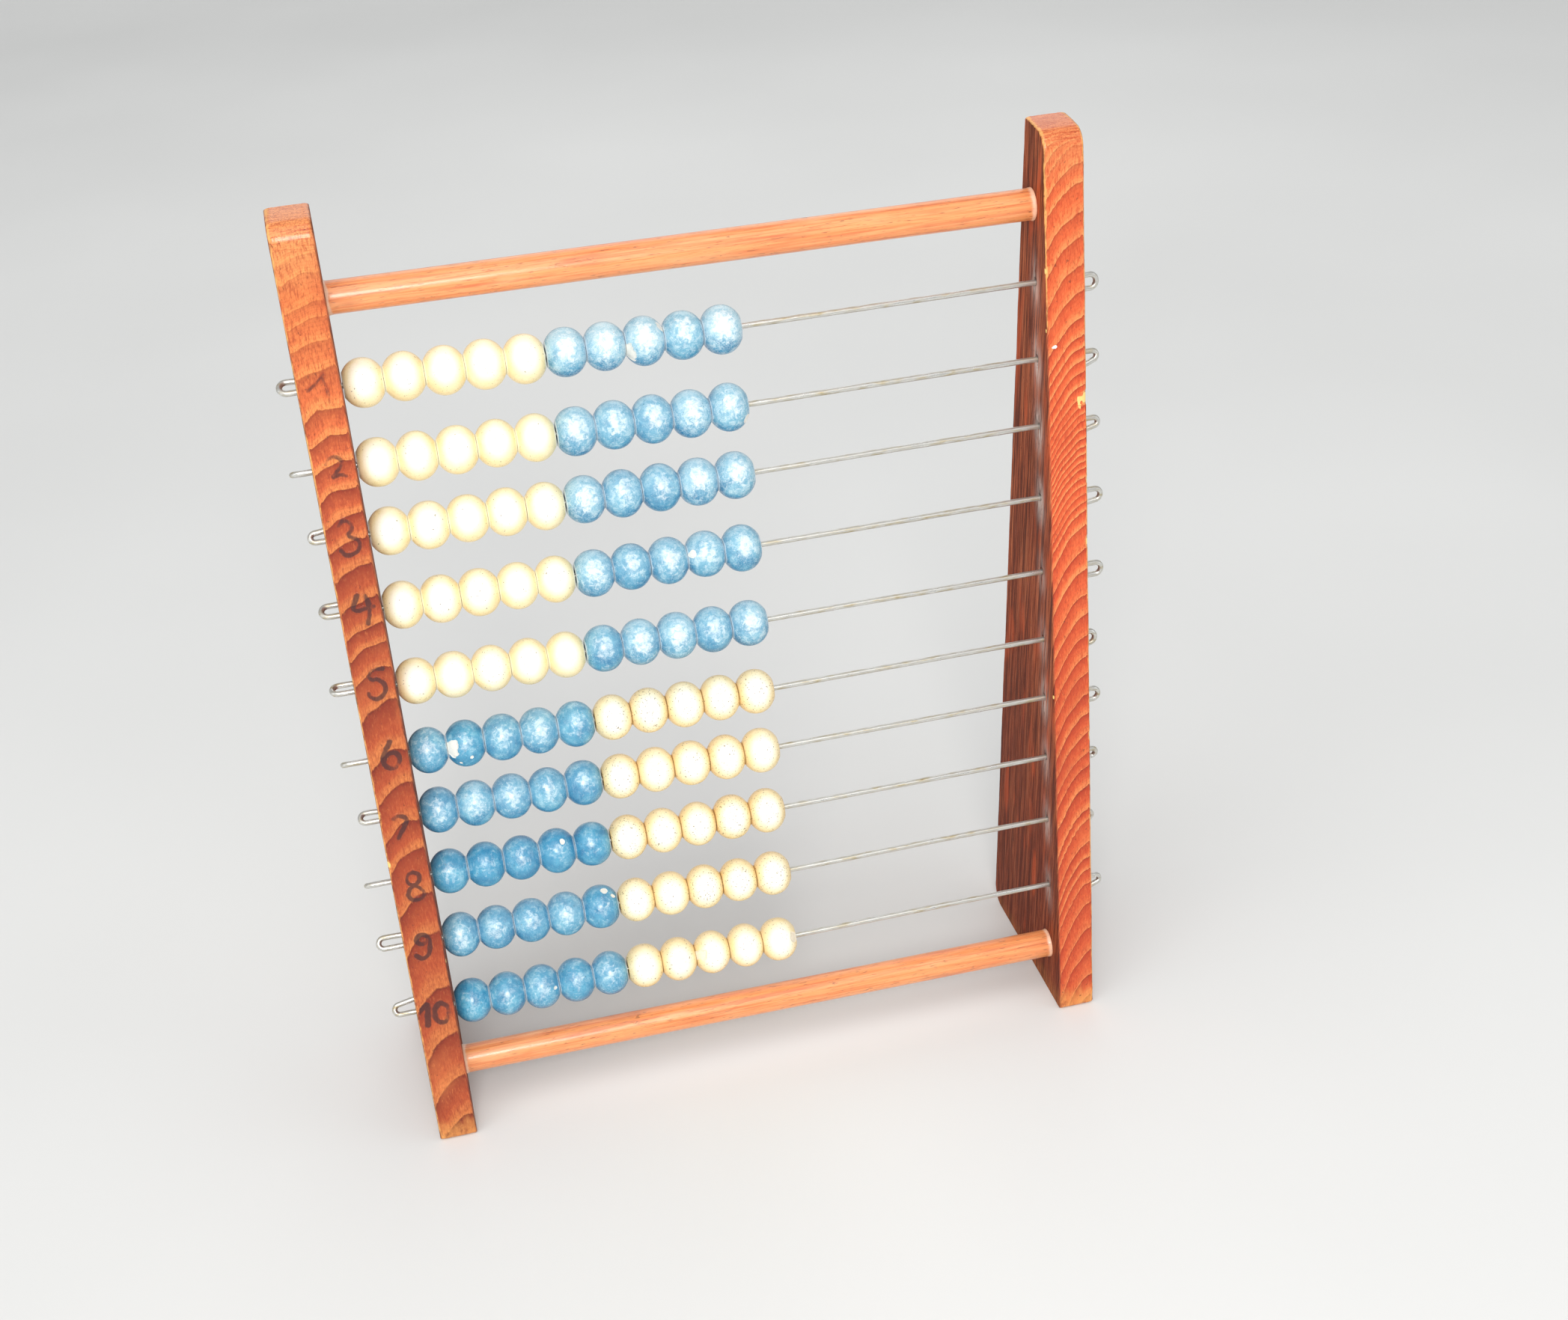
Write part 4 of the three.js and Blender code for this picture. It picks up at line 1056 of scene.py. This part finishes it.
def sweep_tube(path, radius, n=14):
    """A closed round tube along the path, with domed ends."""
    d = np.gradient(path, axis=0)
    d /= np.linalg.norm(d, axis=1)[:, None]
    nrm = np.zeros_like(path)
    ref = np.array([0.0, 1.0, 0.0])
    prev = ref - d[0] * (ref @ d[0])
    prev /= np.linalg.norm(prev)
    for i in range(len(path)):
        q = prev - d[i] * (prev @ d[i])
        q /= np.linalg.norm(q)
        nrm[i] = q
        prev = q
    bin_ = np.cross(d, nrm)
    th = 2 * math.pi * np.arange(n) / n
    rings = []
    r_end = [0.55, 0.85]
    seq = [(0, -0.10, 0.0)]
    def ring(c, i, r):
        return c + r * (np.cos(th)[:, None] * nrm[i] + np.sin(th)[:, None] * bin_[i])
    rings.append(ring(path[0], 0, radius * 0.7))
    for i in range(len(path)):
        c = path[i] + (d[0] * radius * 0.25 if i == 0 else (-d[-1] * radius * 0.25 if i == len(path) - 1 else 0))
        rings.append(ring(c, i, radius))
    rings.append(ring(path[-1], len(path) - 1, radius * 0.7))
    V = np.vstack(rings)
    faces = []
    for k in range(len(rings) - 1):
        for j in range(n):
            a, b = k * n + j, k * n + (j + 1) % n
            faces.append((a, b, b + n, a + n))
    faces.append(tuple(range(n))[::-1])
    faces.append(tuple((len(rings) - 1) * n + j for j in range(n)))
    return V, faces


for i, v0 in enumerate(ROWS):
    left = hairpin(-1, LEFT_LOOPS[i], v0, 100 + i)[::-1]
    right = hairpin(1, RIGHT_LOOPS[i], v0, 200 + i)
    xs = np.linspace(left[-1, 0], right[0, 0], 60)[1:-1]
    inside = np.clip((HALF + 1 - np.abs(xs)) / 20, 0, 1)
    mid = np.column_stack([xs, WIRE_U + 0.06 * inside * wave(40 + i, xs * 0.04), v0 + 0.08 * inside * wave(60 + i, xs * 0.035)])
    V, F = sweep_tube(np.vstack([left, mid, right]), WIRE_R)
    name = "row_%02d_wire" % (i + 1)
    o = mesh_object(name + "_drawn", V, F, name, M_STEEL, recalc=True)
    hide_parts(name)


# ---------------------------------------------------------------------------
# Beads
# ---------------------------------------------------------------------------
BEAD_L, BEAD_R, BORE = 4.93, 6.2, 1.45
# chips: (row, bead) -> list of (angle in degrees from the front towards the top, x of the middle, half angle, half length, depth)
CHIPPED = {
    (1, 8): [(-20, -4.7, 34, 1.9, 0.32), (66, 4.3, 16, 1.1, 0.28)],
    (6, 2): [(15, -4.6, 30, 2.4, 0.36), (-12, 1.0, 4.5, 0.45, 0.2), (-30, -2.0, 4, 0.4, 0.2)],
    (9, 5): [(78, 1.5, 10, 0.9, 0.25), (62, 3.6, 7, 0.6, 0.2)],
    (10, 3): [(20, 3.6, 6, 0.5, 0.2)],
    (10, 8): [(32, -4.5, 22, 2.3, 0.7)],
    (10, 10): [(30, 4.4, 22, 1.5, 0.55)],
    (4, 9): [(30, -3.9, 12, 1.0, 0.15)],
    (2, 10): [(-35, 3.8, 16, 0.8, 0.18)],
    (8, 4): [(52, 1.6, 8, 0.6, 0.15)],
}


def bead_mesh(row, k, blue):
    r = np.random.default_rng(1000 + row * 37 + k)
    chips = CHIPPED.get((row, k + 1), [])
    seg, np_ = (200, 96) if chips else (60, 30)
    L = BEAD_L + r.uniform(-0.03, 0.0)
    R0 = BEAD_R + r.uniform(-0.10, 0.08)
    power = 2.06 + r.uniform(-0.05, 0.09)

    def sup(x):
        return R0 * (1 - np.abs(x / 5.46) ** power) ** (1 / power)
    xe = L - 0.28
    t = np.linspace(-1, 1, np_)
    xs = xe * np.sin(t * math.pi / 2 * 0.92) / math.sin(math.pi / 2 * 0.92)
    rs = sup(xs)
    re = float(sup(np.array(xe)))
    n_end = 4 if not chips else 7
    def fillet(sign):
        out = []
        for q in np.linspace(0, 1, n_end):
            p0, p1, p2 = np.array((xe, re)), np.array((L, re - 0.22)), np.array((L, re - 0.62))
            c = (1 - q) ** 2 * p0 + 2 * q * (1 - q) * p1 + q * q * p2
            out.append((sign * c[0], c[1]))
        return out
    right_end = fillet(1)[1:]
    left_end = fillet(-1)[1:][::-1]
    prof = left_end + list(zip(xs, rs)) + right_end
    prof += [(L, 2.25), (L, 1.9), (L - 0.16, 1.62), (L - 0.5, BORE), (0.0, BORE), (-L + 0.5, BORE), (-L + 0.16, 1.62), (-L, 1.9), (-L, 2.25)]
    prof = np.array(prof)
    X, TH = np.meshgrid(prof[:, 0], 2 * math.pi * np.arange(seg) / seg, indexing='ij')
    RR = np.repeat(prof[:, 1:2], seg, 1)
    soft = smooth(2.2, 4.0, RR)
    spin = r.uniform(0, 6.28)
    RR = RR + soft * (0.045 * wave(int(r.integers(1e6)), X * 0.25, np.cos(TH) * 1.6, np.sin(TH) * 1.6)
                      + 0.012 * wave(int(r.integers(1e6)), X * 2.0, np.cos(TH) * 3, np.sin(TH) * 3))
    chipv = np.zeros_like(RR)
    for (deg, cx, ha, hl, depth) in chips:
        a = math.radians(deg)
        dth = np.arctan2(np.sin(TH - a), np.cos(TH - a))
        d = np.sqrt((dth / math.radians(ha)) ** 2 + ((X - cx) / hl) ** 2)
        d = d + 0.20 * wave(int(deg * 7 + cx * 13 + 900), X * 1.8, np.cos(TH) * 9, np.sin(TH) * 9) + 0.08 * wave(int(deg + 40), X * 5, np.cos(TH) * 22, np.sin(TH) * 22)
        e = smooth(1.02, 0.86, d) * soft
        floor = 1 + 0.22 * wave(int(deg + 300), X * 1.2, np.cos(TH) * 6, np.sin(TH) * 6)
        RR = RR - depth * e * floor
        chipv = np.maximum(chipv, smooth(1.04, 0.93, d) * (RR > 1.7))
    px = X
    pu = -RR * np.cos(TH)
    pv = RR * np.sin(TH)
    P = np.stack([px, pu, pv], -1).reshape(-1, 3)
    tilt = Matrix.Rotation(math.radians(r.uniform(-0.15, 0.15)), 3, 'Y') @ Matrix.Rotation(math.radians(r.uniform(-0.15, 0.15)), 3, 'Z')
    P = P @ np.array(tilt).T
    ring = smooth(4.35, 4.88, np.abs(X)) * smooth(2.0, 3.0, RR)
    blank = np.full(P.shape[0], 1.0)
    age = {1: 1.0, 2: 0.85, 3: 0.8, 4: 0.6, 5: 0.7, 6: 0.35, 7: 0.45, 8: 0.25, 9: 0.25, 10: 0.15}[row] if blue else \
          {1: 0.05, 2: 0.1, 3: 0.2, 4: 0.25, 5: 0.2, 6: 0.95, 7: 0.8, 8: 1.0, 9: 0.9, 10: 0.75}[row]
    age = age + r.uniform(-0.22, 0.22)
    # the value that rises towards the top and front of the bead feeds paler blue paint there: partly fading, partly
    # painted highlight
    attrs = {"ring": ring.ravel(), "chip": chipv.ravel(), "age": blank * age, "tone": blank * r.uniform(0, 1), "fade_and_highlight_side": (P[:, 2] - 0.45 * P[:, 1]) / 6.8,
             # this value points towards the camera at rest: the paints give that side a painted highlight and the side
             # turned away painted shade
             "front": (0.88 * -P[:, 1] + 0.46 * P[:, 2]) / 6.2 * (1 - 0.35 * (P[:, 0] / 4.93) ** 2)}
    M = len(prof)
    idx = np.arange(M * seg).reshape(M, seg)
    a, b = idx, np.roll(idx, -1, 1)
    c, d = np.roll(b, -1, 0), np.roll(a, -1, 0)
    F = np.stack([a, b, c, d], -1).reshape(-1, 4)
    return P, F, attrs


for row in range(1, 11):
    v0 = ROWS[row - 1]
    for k in range(10):
        cream = (k < 5) == (row <= 5)
        P, F, attrs = bead_mesh(row, k, not cream)
        start = -88.45 if k < 5 else -38.75
        cx = start + 4.94 + 9.89 * (k % 5)
        r = np.random.default_rng(5000 + row * 11 + k)
        P = P + np.array([cx, WIRE_U + r.uniform(-0.12, 0.12), v0 + r.uniform(-0.12, 0.06)])
        name = "row_%02d_%s_bead_%d" % (row, "cream" if cream else "blue", k % 5 + 1)
        o = mesh_object(name, P, F, "row_%02d_%s_five" % (row, "left" if k < 5 else "right"),
                        M_CREAM if cream else M_BLUE, attrs, recalc=(row == 1 and k == 0))
        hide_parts("row_%02d_%s_beads" % (row, "cream" if cream else "blue"))


# ---------------------------------------------------------------------------
# Stage, lights and camera
# ---------------------------------------------------------------------------
def make_stage():
    pts = []
    w = 6.0
    prof = [(-3.0, 0.0), (1.6, 0.0)]
    for k in range(1, 13):
        a = math.pi / 2 * k / 12
        prof.append((1.6 + 1.2 * math.sin(a), 1.2 * (1 - math.cos(a))))
    prof.append((2.8, 5.0))
    verts = [(x, y, z) for (y, z) in prof for x in (-w, w)]
    faces = [(2 * i, 2 * i + 1, 2 * i + 3, 2 * i + 2) for i in range(len(prof) - 1)]
    me = bpy.data.meshes.new("floor")
    me.from_pydata(verts, [], faces)
    me.polygons.foreach_set("use_smooth", [True] * len(faces))
    o = bpy.data.objects.new("floor", me)
    bpy.context.scene.collection.objects.link(o)
    t = Tree("floor_pale")
    n = t.noise(t.scaled(t.node("ShaderNodeTexCoord").outputs["Object"], 3, 3, 3), 1.0, 2.0, 0.5)
    t.done(t.ramp(n, [(0.3, lin(222, 222, 220)), (0.7, lin(228, 228, 226))]), 0.75)
    me.materials.append(t.mat)


make_stage()
world = bpy.data.worlds.new("pale")
world.use_nodes = True
bg = world.node_tree.nodes["Background"]
bg.inputs["Color"].default_value = (0.95, 0.97, 1.0, 1)
bg.inputs["Strength"].default_value = 0.46
bpy.context.scene.world = world


def area(name, loc, target, size, energy, colour=(1, 1, 1)):
    l = bpy.data.lights.new(name, 'AREA')
    l.shape = 'DISK'
    l.size = size
    l.energy = energy
    l.color = colour
    o = bpy.data.objects.new(name, l)
    o.location = loc
    o.rotation_euler = (Vector(target) - Vector(loc)).to_track_quat('-Z', 'Y').to_euler()
    bpy.context.scene.collection.objects.link(o)
    return o


def part(x, u, v):
    return L2W @ Vector((x / 1000, u / 1000, v / 1000))


aim = part(0, 20, 130)
area("key", part(-140, -780, 560), aim, 0.30, 4.2, (1.0, 0.985, 0.96))
sun = bpy.data.lights.new("sky", 'SUN')
sun.energy = 0.95
sun.angle = math.radians(50)
sun_o = bpy.data.objects.new("sky", sun)
sun_o.rotation_euler = (math.radians(28), math.radians(-12), 0)
bpy.context.scene.collection.objects.link(sun_o)
area("fill_right", part(900, -500, 500), aim, 0.9, 1.7, (0.97, 0.98, 1.0))
area("fill_left", part(-900, -300, 450), aim, 0.9, 1.7)
area("rim", part(200, 900, 900), aim, 0.9, 1.8)

w = np.array([0.46494431, -0.21282449, -0.13018582])
ang = float(np.linalg.norm(w))
rw = np.array(Matrix.Rotation(ang, 3, Vector(w / ang)))
Rf = rw @ np.array([[1, 0, 0], [0, 0, -1], [0, 1, 0]], float)     # rows: right, down, forward in the part frame
M = Matrix.Identity(4)
for k, (row, sign) in enumerate(((0, 1), (1, -1), (2, -1))):
    for j in range(3):
        M[j][k] = sign * Rf[row][j]
for j, c in enumerate((4.2929 - 88.7, -489.2528, 390.3188)):
    M[j][3] = c / 1000
cam_data = bpy.data.cameras.new("camera")
cam_data.sensor_width = 36
cam_data.lens = 2801.47 * 36 / 2095
cam_data.clip_start = 0.01
cam = bpy.data.objects.new("camera", cam_data)
cam.matrix_world = L2W @ M
bpy.context.scene.collection.objects.link(cam)
bpy.context.scene.camera = cam
bpy.context.scene.view_settings.view_transform = 'Standard'
